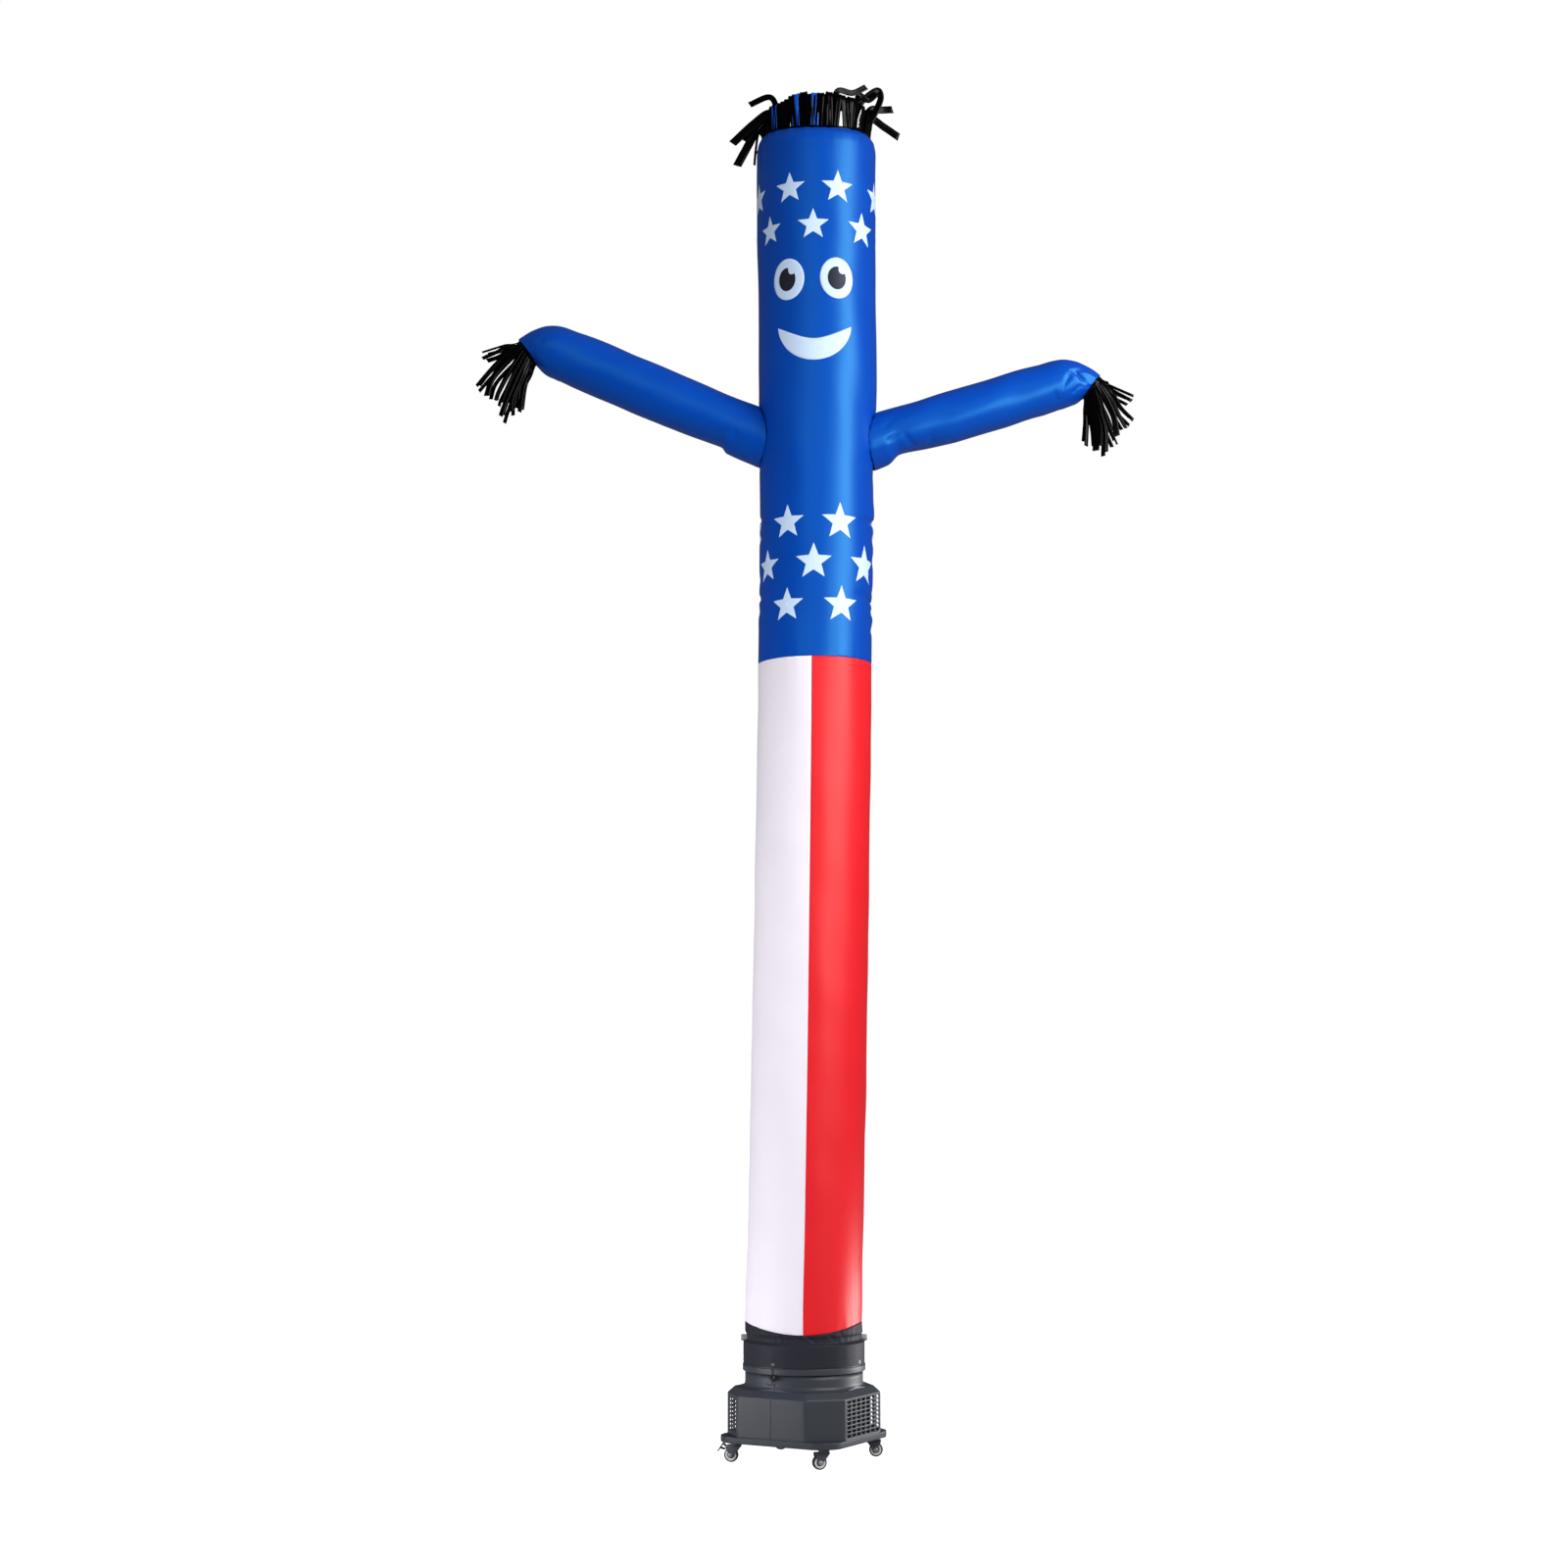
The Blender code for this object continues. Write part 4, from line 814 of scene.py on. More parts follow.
SLEEVE_RIGHT = (
    (0.1800, 3.9610, 0.1050, -17.1),
    (0.3100, 4.0010, 0.1040, -17.1),
    (0.4000, 4.0290, 0.1020, -17.1),
    (0.5500, 4.0750, 0.1025, -17.1),
    (0.7800, 4.1460, 0.1025, -17.1),
    (0.9000, 4.1850, 0.1008, -16.0),
    (0.9560, 4.2005, 0.1008, -9.1),
    (1.0040, 4.2150, 0.1020, -2.2),
    (1.0430, 4.2220, 0.1002, 2.8),
    (1.0800, 4.2225, 0.0927, 9.3),
    (1.1110, 4.2185, 0.0821, 17.0),
    (1.1365, 4.2145, 0.0718, 26.0),
    (1.1580, 4.2110, 0.0595, 37.8),
)


def open_arm_hole(points, table):
    """Moves the points near the edge of an arm's hole onto it and returns which points lie inside."""
    start = np.array((table[0][0], 0.0, table[0][1]))
    axis = unit(np.array((table[2][0], 0.0, table[2][1])) - start)
    foot = start + ((points - start) @ axis)[..., None] * axis
    spoke = points - foot
    away = np.linalg.norm(spoke, axis=-1)
    on_side = np.sign(points[..., 0] - tube_middle(points[..., 2])) == np.sign(table[2][0])
    near = on_side & (np.abs(away - ARM_HOLE) < ARM_HOLE_REACH)
    points[near] = (foot + spoke * (ARM_HOLE / np.maximum(away, 1e-6))[..., None])[near]
    return on_side & (away < ARM_HOLE - ARM_HOLE_REACH) | near


def quads_inside(inside):
    """Which quads of a grid that closes on itself have all their points inside a hole."""
    numbers, _ = grid_quads(*inside.shape, wrap=True)
    return inside.reshape(-1)[numbers].all(axis=1)


row_heights = np.concatenate([
    WAIST_SEAM_Z + GAP / 2 + np.array([0.0, 1.5, 3.5, 6.0]) * MM,
    np.arange(3.094, 3.76, 0.0062),
    np.arange(3.765, CROWN_FOOT_Z, 0.0135),
])
crown_steps = np.linspace(CROWN_TALL, 0.0, 26)
columns = SEAM_TOP_DEG + np.arange(BODY_COLUMNS) * 360.0 / BODY_COLUMNS
rim = rim_line(columns)
level = row_heights[:, None] * np.ones_like(columns)
# Above the chest the rows bend over to follow the rim
level = level + ramp(level, 4.9, CROWN_FOOT_Z) * (rim - CROWN_TALL - CROWN_FOOT_Z)
crown = rim[None, :] - crown_steps[:, None]
heights = np.concatenate([level[:-1], crown])
body_points = tube_points(columns[None, :], heights)
inside = open_arm_hole(body_points, SLEEVE_LEFT) | open_arm_hole(body_points, SLEEVE_RIGHT)
body = grid_object(
    "upper_body",
    body_points,
    BLUE_CLOTH,
    wrap=True,
    cloth=(round_u(2 * np.pi * UPPER_R, BODY_COLUMNS), heights.mean(axis=1)),
    keep=~quads_inside(inside),
)
thicken(without_loose_points(body), CLOTH)
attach(body, "root")
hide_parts("body_upper")
print("upper body:", len(body.data.polygons), "quads")

# %% [markdown]
# ## The white and the red panel, and the black skirt
#
# Below the waist the tube is two half panels with a seam up the front and one up the back. Under them
# is a black skirt, which goes over the blower's collar: it is wide over the barrel, drawn in above it
# and full again where it meets the panels.

# %% The white and the red panel
PANEL_COLUMNS, PANEL_ROWS = 90, 210


def spaced(count, extra):
    """Even shares from 0 to 1 with a few more in between, in order."""
    return np.sort(np.concatenate([np.linspace(0.0, 1.0, count), extra]))


def make_panel(name, replaces, finish, first, last):
    """Half of the lower tube, from azimuth seam + first to seam + last, between the two cross seams."""
    # The outermost rows and columns are close together, to show how the cloth dips into the seams
    share = spaced(PANEL_COLUMNS + 1, (0.004, 0.016, 0.984, 0.996))
    rows = spaced(PANEL_ROWS, (0.0008, 0.0018, 0.003, 0.997, 0.9982, 0.9992))
    about = first + (last - first) * share
    foot = skirt_seam(about) + GAP / 2
    z = foot[None, :] + (WAIST_SEAM_Z - GAP / 2 - foot[None, :]) * rows[:, None]
    trim = np.degrees(GAP / 2 / PANEL_R) * (1 - 2 * share)
    degrees = panel_seam(z) + about[None, :] + trim[None, :]
    width = np.pi * PANEL_R
    piece = grid_object(name, tube_points(degrees, z), finish, cloth=(share * width, z.mean(axis=1)))
    thicken(piece, CLOTH)
    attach(piece, "root")
    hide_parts(replaces)


make_panel("white_panel", "panel_white", WHITE_CLOTH, 180.0, 360.0)
make_panel("red_panel", "panel_red", RED_CLOTH, 0.0, 180.0)

# %% The black skirt
SKIRT_HEM_Z, HEM_STITCH = 0.365, 0.026
SKIRT_COLUMNS = 240
PEG_Z = 0.459
BUTTONHOLE_R = 15.5 * MM
# Creases above the collar: azimuth, height, azimuth, height, depth and half width in millimetres.
# A negative depth stands out.
SKIRT_FOLDS = (
    (-84, 0.530, -76, 0.470, 4, 7),
    (-74, 0.520, -66, 0.474, 4, 6),
    (-62, 0.505, -58, 0.470, 3, 6),
    (82, 0.530, 76, 0.472, 4, 7),
    (72, 0.520, 67, 0.474, 4, 6),
    (63, 0.505, 60, 0.470, 3, 6),
    (-9, 0.486, 4, 0.452, 4, 6),
    (-3, 0.486, 12, 0.446, -3, 6),
    (1, 0.484, 16, 0.448, 4, 6),
    (-22, 0.484, -14, 0.456, 3, 6),
    (-34, 0.488, -27, 0.458, 3, 6),
    (26, 0.484, 34, 0.458, 3, 6),
    (38, 0.492, 44, 0.460, 3, 7),
    (-46, 0.495, -44, 0.462, -3, 7),
    (110, 0.510, 116, 0.465, 4, 8),
    (140, 0.490, 146, 0.460, 4, 8),
    (172, 0.486, 178, 0.458, 4, 8),
    (-112, 0.510, -118, 0.465, 4, 8),
    (-142, 0.490, -148, 0.460, 4, 8),
    (-170, 0.486, -164, 0.458, 3, 8),
)


def skirt_points(degrees, z):
    """The skirt: the tube's own circle with its creases, and gathers where it is drawn in."""
    depth = folds_round(degrees, z, SKIRT_FOLDS)
    gathered = ramp(z, 0.445, 0.458) * (1 - ramp(z, 0.478, 0.515))
    depth = depth - 2.2 * MM * (0.5 + 0.5 * ripples(degrees, 24, 60, 9)) * gathered
    drawn_hem = ramp(z, 0.362, 0.385) * (1 - ramp(z, 0.43, 0.445))
    depth = depth - 0.5 * MM * ripples(degrees, 8, 30, 10) * drawn_hem
    depth = depth + 1.2 * MM * bell(z - skirt_seam(degrees), SEAM_HALF)
    depth = depth + 0.9 * MM * bell(z - SKIRT_HEM_Z - HEM_STITCH, 1.6 * MM)
    # The spigot and the barrel of the collar stand just inside, so no fold reaches them
    room = np.where(z < 0.452, 0.6 * MM, np.where(z < 0.480, 1.2 * MM, 5 * MM))
    radius = bare_radius(z) - np.minimum(depth, room)
    x, y = turn(degrees)
    return np.stack([tube_middle(z) + radius * x, radius * y, z], axis=-1)


about = SEAM_FOOT_DEG + np.arange(SKIRT_COLUMNS) * 360.0 / SKIRT_COLUMNS
top = skirt_seam(about) - GAP / 2
# Level rows up to 0.470. The front seam dips to 0.487, so the rows above them share what is left
low_rows = np.concatenate([SKIRT_HEM_Z + np.array([0.0, 0.8, 2.0]) * MM, np.arange(0.370, 0.4705, 0.0024)])
high_rows = np.linspace(0.0, 1.0, 24)[1:]
z_low = low_rows[:, None] * np.ones_like(about)
z_high = z_low[-1][None, :] + high_rows[:, None] * (top - z_low[-1])[None, :]
z = np.concatenate([z_low, z_high])
degrees = np.broadcast_to(about, z.shape)
points = skirt_points(degrees, z)
inside = np.zeros(z.shape, bool)
# A buttonhole on each side for a peg: the nearest points move onto its edge
for side in (-1, 1):
    across, up = points[..., 1], points[..., 2] - PEG_Z
    away = np.hypot(across, up)
    near = (points[..., 0] * side > 0) & (np.abs(away - BUTTONHOLE_R) < 2.2 * MM)
    scale = np.where(near, BUTTONHOLE_R / np.maximum(away, 1e-6), 1.0)
    points[..., 1] = across * scale
    points[..., 2] = PEG_Z + up * scale
    inside |= (points[..., 0] * side > 0) & (away < BUTTONHOLE_R) | near
skirt = grid_object(
    "black_skirt",
    points,
    BLACK_CLOTH,
    wrap=True,
    cloth=(round_u(2 * np.pi * FOLD_R, SKIRT_COLUMNS), z.mean(axis=1)),
    keep=~quads_inside(inside),
)
thicken(without_loose_points(skirt), CLOTH)
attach(skirt, "root")
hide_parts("skirt")

# %% [markdown]
# ## The sleeves
#
# A sleeve is a tube again, round a bent line, with the bend where the air can't quite hold up the
# cuff. It starts on the body's own surface: for each column the start is found where the sleeve's
# side meets the tube. The underside is pinched near the armpit, and the right cuff has a deep pinch.


# %% The sleeves
SLEEVE_COLUMNS, SLEEVE_ROWS = 108, 170
SLEEVE_FOLD_R, CUFF_STITCH = 0.105, 0.018
# Distance out along X, radius lost on the underside
UNDERSIDE_LEFT = ((0.150, -0.004), (0.262, -0.003), (0.292, 0.012), (0.360, 0.008), (0.520, 0.0))
UNDERSIDE_RIGHT = ((0.250, -0.012), (0.310, -0.006), (0.366, 0.019), (0.450, 0.012), (0.580, 0.0))
# Folds near the cuffs and the armpits. Metres round the sleeve from its front, upwards, and metres
# back from the cuff: deep end, shallow end; depth and half width in millimetres
SLEEVE_FOLDS_LEFT = (
    (0.020, 0.060, 0.060, 0.100, 3, 9),
    (0.000, 0.000, 0.012, 0.060, 3, 6),
    (-0.035, 0.000, -0.045, 0.050, 3, 6),
    (0.040, 0.000, 0.055, 0.060, 2.5, 7),
    (-0.100, 0.840, -0.040, 0.880, 4, 12),
    (-0.110, 0.780, -0.050, 0.800, 2, 14),
    (-0.070, 0.930, -0.010, 0.900, 3, 12),
)
SLEEVE_FOLDS_RIGHT = (
    (0.028, 0.074, -0.016, 0.020, 12, 8),
    (0.036, 0.088, 0.062, 0.050, 5, 8),
    (0.010, 0.100, -0.050, 0.125, 6, 11),
    (-0.060, 0.070, -0.025, 0.045, 5, 9),
    (-0.085, 0.150, -0.040, 0.160, 3, 11),
    (0.048, 0.010, 0.052, 0.060, -4, 9),
    (-0.100, 0.770, -0.030, 0.800, 5, 13),
    (-0.120, 0.700, -0.060, 0.690, 3, 15),
    (0.020, 0.860, 0.050, 0.800, 3, 12),
    (-0.040, 0.860, -0.020, 0.810, 4, 11),
)


def sleeve_shape(table):
    """The sleeve's middle line, the way its rings face and their radius, at points 4 mm apart."""
    x, z, radius, lean = np.array(table).T
    steps = np.concatenate([[0.0], np.cumsum(np.hypot(np.diff(x), np.diff(z)))])
    s = np.linspace(0.0, steps[-1], round(steps[-1] / (4 * MM)))
    middle = np.stack([eased(s, steps, x), np.zeros_like(s), eased(s, steps, z)], axis=1)
    lean = np.radians(eased(s, steps, lean))
    way = np.stack([np.cos(lean), np.zeros_like(s), -np.sin(lean)], axis=1) * np.sign(x[-1])
    return s, middle, way, eased(s, steps, radius)


def sleeve_points(table, underside, folds, seed):
    """The sleeve on a grid of rows along it and columns round it.

    A point is middle(s) + r (cos a * up + sin a * back), where r is the table's radius less the
    folds, and s runs from where the column meets the tube to the cuff.
    """
    s, middle, way, radius = sleeve_shape(table)
    hand = np.sign(table[0][0] - 0.05)
    up = np.stack([-way[:, 2] * hand, np.zeros(len(s)), way[:, 0] * hand], axis=1)
    angle = round_angles(SLEEVE_COLUMNS)
    back = np.array((0.0, -hand, 0.0))
    spoke = np.cos(angle)[None, :, None] * up[:, None] + np.sin(angle)[None, :, None] * back
    side = middle[:, None] + radius[:, None, None] * spoke
    # The last point of each column that is still inside the body is where the cloth starts
    depth = np.hypot(side[..., 0] - tube_middle(side[..., 2]), side[..., 1])
    skin = bare_radius(side[..., 2]) + 0.3 * MM
    outside = (depth > skin) & (np.abs(side[..., 0] - tube_middle(side[..., 2])) > 0.05)
    first = outside.argmax(axis=0)
    column = np.arange(SLEEVE_COLUMNS)
    a, b = (skin - depth)[first - 1, column], (skin - depth)[first, column]
    start = s[first - 1] + (s[first] - s[first - 1]) * a / (a - b)
    share = spaced(SLEEVE_ROWS, (0.0015, 0.004, 0.994, 0.997))
    at = start[None, :] + (s[-1] - start[None, :]) * share[:, None]
    centre, over = (
        np.stack([np.interp(at, s, line[:, axis]) for axis in range(3)], axis=-1) for line in (middle, up)
    )
    spoke = np.cos(angle)[None, :, None] * over + np.sin(angle)[None, :, None] * back
    from_seam, from_cuff = at - start[None, :], s[-1] - at
    turns = np.broadcast_to(angle, at.shape)
    # Metres round the sleeve from its front, upwards
    front = hand * np.pi / 2
    round_front = -hand * ((turns - front + np.pi) % (2 * np.pi) - np.pi) * SLEEVE_FOLD_R
    lost = fold_depth(round_front, from_cuff, folds)
    distance, loss = np.array(underside).T
    lost = lost + eased(np.abs(centre[..., 0]), distance, loss) * bell(turns - np.pi, 0.9)
    # Gathers and a groove at the seam, then gathers at the cuff and the stitches of its hem
    degrees = np.degrees(turns)
    lost = lost + 1.2 * MM * ripples(degrees, 7, 22, seed) * fade(from_seam, 0.045)
    lost = lost + 1.0 * MM * bell(from_seam, 6 * MM)
    lost = lost + 1.4 * MM * ripples(degrees, 9, 24, seed + 1) * fade(from_cuff, 0.035)
    lost = lost + 1.0 * MM * bell(from_cuff - CUFF_STITCH, 2 * MM)
    draw = np.random.default_rng(seed + 2)
    for _ in range(6):
        count, length, phase = draw.integers(2, 6), draw.uniform(0.15, 0.6), draw.uniform(0.0, 6.28)
        lost = lost + 0.4 * MM * np.cos(count * turns + 2 * np.pi * at / length + phase)
    r = np.interp(at, s, radius) - lost
    return centre + r[..., None] * spoke, at.mean(axis=1), s[-1] - start.min()


# The last two: the seed of the sleeve's gathers and its usual radius
SLEEVES = {
    "left": (SLEEVE_LEFT, UNDERSIDE_LEFT, SLEEVE_FOLDS_LEFT, 21, 0.109),
    "right": (SLEEVE_RIGHT, UNDERSIDE_RIGHT, SLEEVE_FOLDS_RIGHT, 31, 0.1025),
}
for side, (table, underside, folds, seed, usual_r) in SLEEVES.items():
    points, along, length = sleeve_points(table, underside, folds, seed)
    width = 2 * np.pi * usual_r
    flat = (round_u(width, SLEEVE_COLUMNS), along)
    sleeve = grid_object(f"{side}_sleeve", points, BLUE_CLOTH, wrap=True, cloth=flat)
    thicken(sleeve, CLOTH)
    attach(sleeve, "root")
    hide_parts(f"sleeve_{side}")
    print(f"{side} sleeve: flat {width:.3f} x {length:.3f} m")

# %% [markdown]
# ## The printing
#
# The stars and the face are screen printed. A printed shape needs a crisp outline at any distance, so
# it is a mesh and not a pattern in the blue cloth's material. Each shape is a grid in polar
# coordinates round its middle, laid half a millimetre over the cloth by the tube's own formula, so
# that it bends through every fold with the cloth.

# %% The printing
INK_OUT, INK_THICK = 0.6 * MM, 0.4 * MM
# The radii of the stars' points, and of their inner corners as a share of that
STAR_R_UPPER, STAR_R_LOWER, STAR_WAIST = 0.069, 0.073, 0.425
# Height, then azimuths, then each star's size as a share of the radius
STARS_UPPER = (
    (4.964, (-74.0, -27.0, 20.0, 74.0, 121.0, -121.0, 168.0), (1.0, 0.95, 1.02, 1.12, 1.0, 1.0, 1.0)),
    (4.808, (-51.5, -4.0, 48.0, 98.0, -100.0, 146.0, -146.0), (0.90, 0.95, 1.08, 1.0, 1.0, 1.0, 1.0)),
)
STARS_LOWER = (
    (3.616, (-92.0, -30.6, 23.5, 92.0, 150.0, -150.0), (1.0, 0.97, 1.07, 1.0, 1.0, 1.0)),
    (3.454, (-118.0, -58.4, -3.4, 55.7, 118.0, 176.0), (1.0, 0.95, 1.03, 1.15, 1.0, 1.0)),
    (3.287, (-98.0, -30.6, 25.6, 98.0, 150.0, -150.0), (1.0, 0.97, 1.05, 1.0, 1.0, 1.0)),
)
# Each eye's azimuth and height, and how far the pupil stands to the right of its middle
EYES = ((-29.8, 4.593, -0.004), (19.1, 4.593, -0.001))
EYE_HALF = (0.070, 0.0835)
PUPIL_HALF = (0.038, 0.0465)
# The bite that a glint takes out of the pupil: its place and radius
BITE, BITE_R = (0.0235, 0.0345), 0.0165
# The mouth's middle and half width in degrees, and the heights of its tips and of its curves' middles
MOUTH = {"middle": -4.2, "half": 37.3, "tip": 4.402, "upper": 4.345, "lower": 4.258}


def on_tube(middle_deg, level, across, up, out):
    """Places flat shapes, in metres across and up, on the tube round an azimuth and a height."""
    z = level + up
    return tube_points(middle_deg + np.degrees(across / bare_radius(level)), z, out)


def star_outline(radius, points_per_edge=7):
    """A five-pointed star's outline: ten corners, alternately at the radius and at its waist."""
    angle = np.radians(90.0 + 36.0 * np.arange(11))
    size = radius * np.where(np.arange(11) % 2 == 0, 1.0, STAR_WAIST)
    corners = np.stack([size * np.cos(angle), size * np.sin(angle)], axis=1)
    t = np.arange(points_per_edge)[None, :, None] / points_per_edge
    return (corners[:-1, None] * (1 - t) + corners[1:, None] * t).reshape(-1, 2)


def oval_outline(half, count=96):
    """An upright oval, from its half width and half height."""
    angle = round_angles(count)
    return np.stack([half[0] * np.cos(angle), half[1] * np.sin(angle)], axis=1)


def bitten_outline(half, bite, bite_r, count=160):
    """An oval whose edge goes round a circular bite: along each ray, the nearer of the two edges."""
    angle = round_angles(count)
    ray = np.stack([np.cos(angle), np.sin(angle)], axis=1)
    reach = 1 / np.hypot(ray[:, 0] / half[0], ray[:, 1] / half[1])
    along = ray @ np.array(bite)
    across = np.abs(ray[:, 0] * bite[1] - ray[:, 1] * bite[0])
    near_side = along - np.sqrt(np.maximum(bite_r**2 - across**2, 0.0))
    reach = np.where((across < bite_r) & (along > 0), np.minimum(reach, near_side), reach)
    return ray * reach[:, None]


PRINT_RINGS = 12


def printed(name, shapes, finish, out=INK_OUT):
    """One piece of filled outlines: rings that shrink to the middle of (azimuth, height, outline)."""
    parts = []
    for middle_deg, level, outline in shapes:
        # The last, tiny ring closes the middle
        scale = np.concatenate([np.linspace(1.0, 0.12, PRINT_RINGS), [0.004]])[:, None, None]
        flat = outline[None] * scale
        points = on_tube(middle_deg, level, flat[..., 0], flat[..., 1], out)
        around = np.concatenate([np.arange(len(outline)), [0]]) * 0.004
        part = grid_object(name, points, finish, wrap=True, cloth=(around, scale[:, 0, 0] * 0.07))
        parts.append(merged(part, 0.8 * MM))
    piece = joined(name, parts)
    piece.data.shade_smooth()
    # Each face is turned away from the tube's middle line
    mesh = piece.data
    centres = np.empty(len(mesh.polygons) * 3, np.float32)
    normals = np.empty_like(centres)
    mesh.polygons.foreach_get("center", centres)
    mesh.polygons.foreach_get("normal", normals)
    centres, normals = centres.reshape(-1, 3), normals.reshape(-1, 3)
    centres[:, 0] -= tube_middle(centres[:, 2])
    inwards = np.flatnonzero((centres[:, :2] * normals[:, :2]).sum(axis=1) < 0)

    def turn_outwards(work):
        work.faces.ensure_lookup_table()
        bmesh.ops.reverse_faces(work, faces=[work.faces[k] for k in inwards.tolist()])

    thicken(reworked(piece, turn_outwards), INK_THICK)
    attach(piece, "root")
    return piece


star_upper, star_lower = star_outline(STAR_R_UPPER), star_outline(STAR_R_LOWER)
stars = [(deg, z, star_upper * size) for z, row, sizes in STARS_UPPER for deg, size in zip(row, sizes)]
stars += [(deg, z, star_lower * size) for z, row, sizes in STARS_LOWER for deg, size in zip(row, sizes)]
star_print = printed("printed_stars", stars, PRINT_WHITE)
eye_print = printed(
    "printed_eyes", [(deg, z, oval_outline(EYE_HALF)) for deg, z, _ in EYES], PRINT_WHITE
)
pupil = bitten_outline(PUPIL_HALF, BITE, BITE_R)
pupil_print = printed(
    "printed_pupils",
    [(deg, z, pupil + np.array((aside, 0.0))) for deg, z, aside in EYES],
    PRINT_BLACK,
    out=INK_OUT + INK_THICK,
)

# The mouth is a strip between an upper and a lower curve that meet in its two tips
t = np.sin(np.linspace(-1.0, 1.0, 97) * np.pi / 2)
LIP_ROUND = 0.42
rise_upper = (np.hypot(t, LIP_ROUND) - LIP_ROUND) / (np.hypot(1.0, LIP_ROUND) - LIP_ROUND)
rise_lower = 1 - (1 - t**2) ** 0.62
upper = MOUTH["upper"] + (MOUTH["tip"] - MOUTH["upper"]) * rise_upper
lower = MOUTH["lower"] + (MOUTH["tip"] - 6 * MM - MOUTH["lower"]) * rise_lower
level = lower[None, :] + (upper - lower)[None, :] * np.linspace(0.0, 1.0, 14)[:, None]
lip = tube_points(MOUTH["middle"] + MOUTH["half"] * t[None, :], level, INK_OUT)
mouth_print = grid_object("printed_mouth", lip, PRINT_WHITE, cloth=(t * 0.15, np.linspace(0, 0.08, 14)))
thicken(mouth_print, INK_THICK)
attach(mouth_print, "root")

# %% [markdown]
# ## The hair and the hands
#
# The hair and the two hands are the same thing: a strip of thin glossy film, cut into ribbons almost
# to its edge and sewn inside an opening, where the escaping air makes the ribbons flutter. Particles
# or a hair system could place many, but each ribbon here is wide enough to be seen one by one. So
# each is a flat band along a smooth path, and all the paths of a fringe are worked out together.


# %% Ribbons
RIBBON_SLANT = 0.25


def ribbon_piece(name, paths, sides, widths, finish):
    """Flat bands along paths (k, n, 3), spread along sides (k, n, 3), with a faint crown across.

    The far end is cut at a slant, this way and that way in turn: its last points move along the band
    by a share of the width.
    """
    k, n, _ = paths.shape
    along = unit(np.gradient(paths, axis=1))
    sides = unit(sides - (sides * along).sum(axis=-1, keepdims=True) * along)
    face = np.cross(along, sides)
    across = np.array((-0.5, -0.18, 0.18, 0.5))
    crown = 0.07 * (1 - (2 * across) ** 2)
    wide = np.asarray(widths, float)[:, None, None, None]
    points = paths[:, :, None] + wide * (
        across[None, None, :, None] * sides[:, :, None] + crown[None, None, :, None] * face[:, :, None]
    )
    slant = np.where(np.arange(k) % 2 == 0, RIBBON_SLANT, -RIBBON_SLANT)[:, None, None]
    points[:, -1] += slant * across[None, :, None] * wide[:, 0] * along[:, -1:]
    numbers, corners = grid_quads(n, 4)
    faces = (numbers[None] + (np.arange(k) * n * 4)[:, None, None]).reshape(-1, 4)
    steps = np.linalg.norm(np.diff(paths, axis=1), axis=-1)
    size = np.concatenate([np.zeros((k, 1)), np.cumsum(steps, axis=1)], axis=1)
    u = (across[corners[..., 1]][None] * wide[..., 0] + np.arange(k)[:, None, None] * 0.05).reshape(-1, 4)
    v = size[:, corners[..., 0]].reshape(-1, 4)
    piece = mesh_object(name, points.reshape(-1, 3), faces, finish, np.stack([u, v], axis=-1))
    return piece, size[:, -1]


def turned_flat(paths, root_sides, facing, shares):
    """Sides for bands (k, n, 3) that start along root_sides and turn flat to a direction.

    Where a band is flat to a direction, its side is the cross product of its path and that direction.
    """
    flat = unit(np.cross(unit(np.gradient(paths, axis=1)), facing))
    same_way = np.where((flat[:, 2] * root_sides).sum(axis=-1) < 0, -1.0, 1.0)[:, None, None]
    return root_sides[:, None] * (1 - shares) + flat * same_way * shares


# %% The hair
FILM = 0.5 * MM
HAIR_COUNT = 62
HAIR_PITCH = 360.0 / HAIR_COUNT
# Where the folded tops of the ribbons stand: azimuth, height
HAIR_TOPS = (
    (-180.0, 5.345), (-150.0, 5.352), (-115.0, 5.335), (-85.0, 5.305), (-65.0, 5.327),
    (-55.0, 5.341), (-39.0, 5.341), (-27.0, 5.349), (-23.0, 5.361), (-18.5, 5.368),
    (-12.0, 5.356), (-7.0, 5.354), (-1.0, 5.362), (6.6, 5.353), (13.7, 5.362),
    (24.6, 5.358), (34.0, 5.361), (46.0, 5.352), (60.0, 5.337), (90.0, 5.318),
    (120.0, 5.345), (150.0, 5.338), (180.0, 5.345),
)
# Azimuths where a ribbon is missing, and where one is blue
HAIR_GAPS = (24.5, 47.0, 58.7)
BLUE_HAIR, BLUE_WIDTH = (-49.6, -22.0, -2.4), 0.030
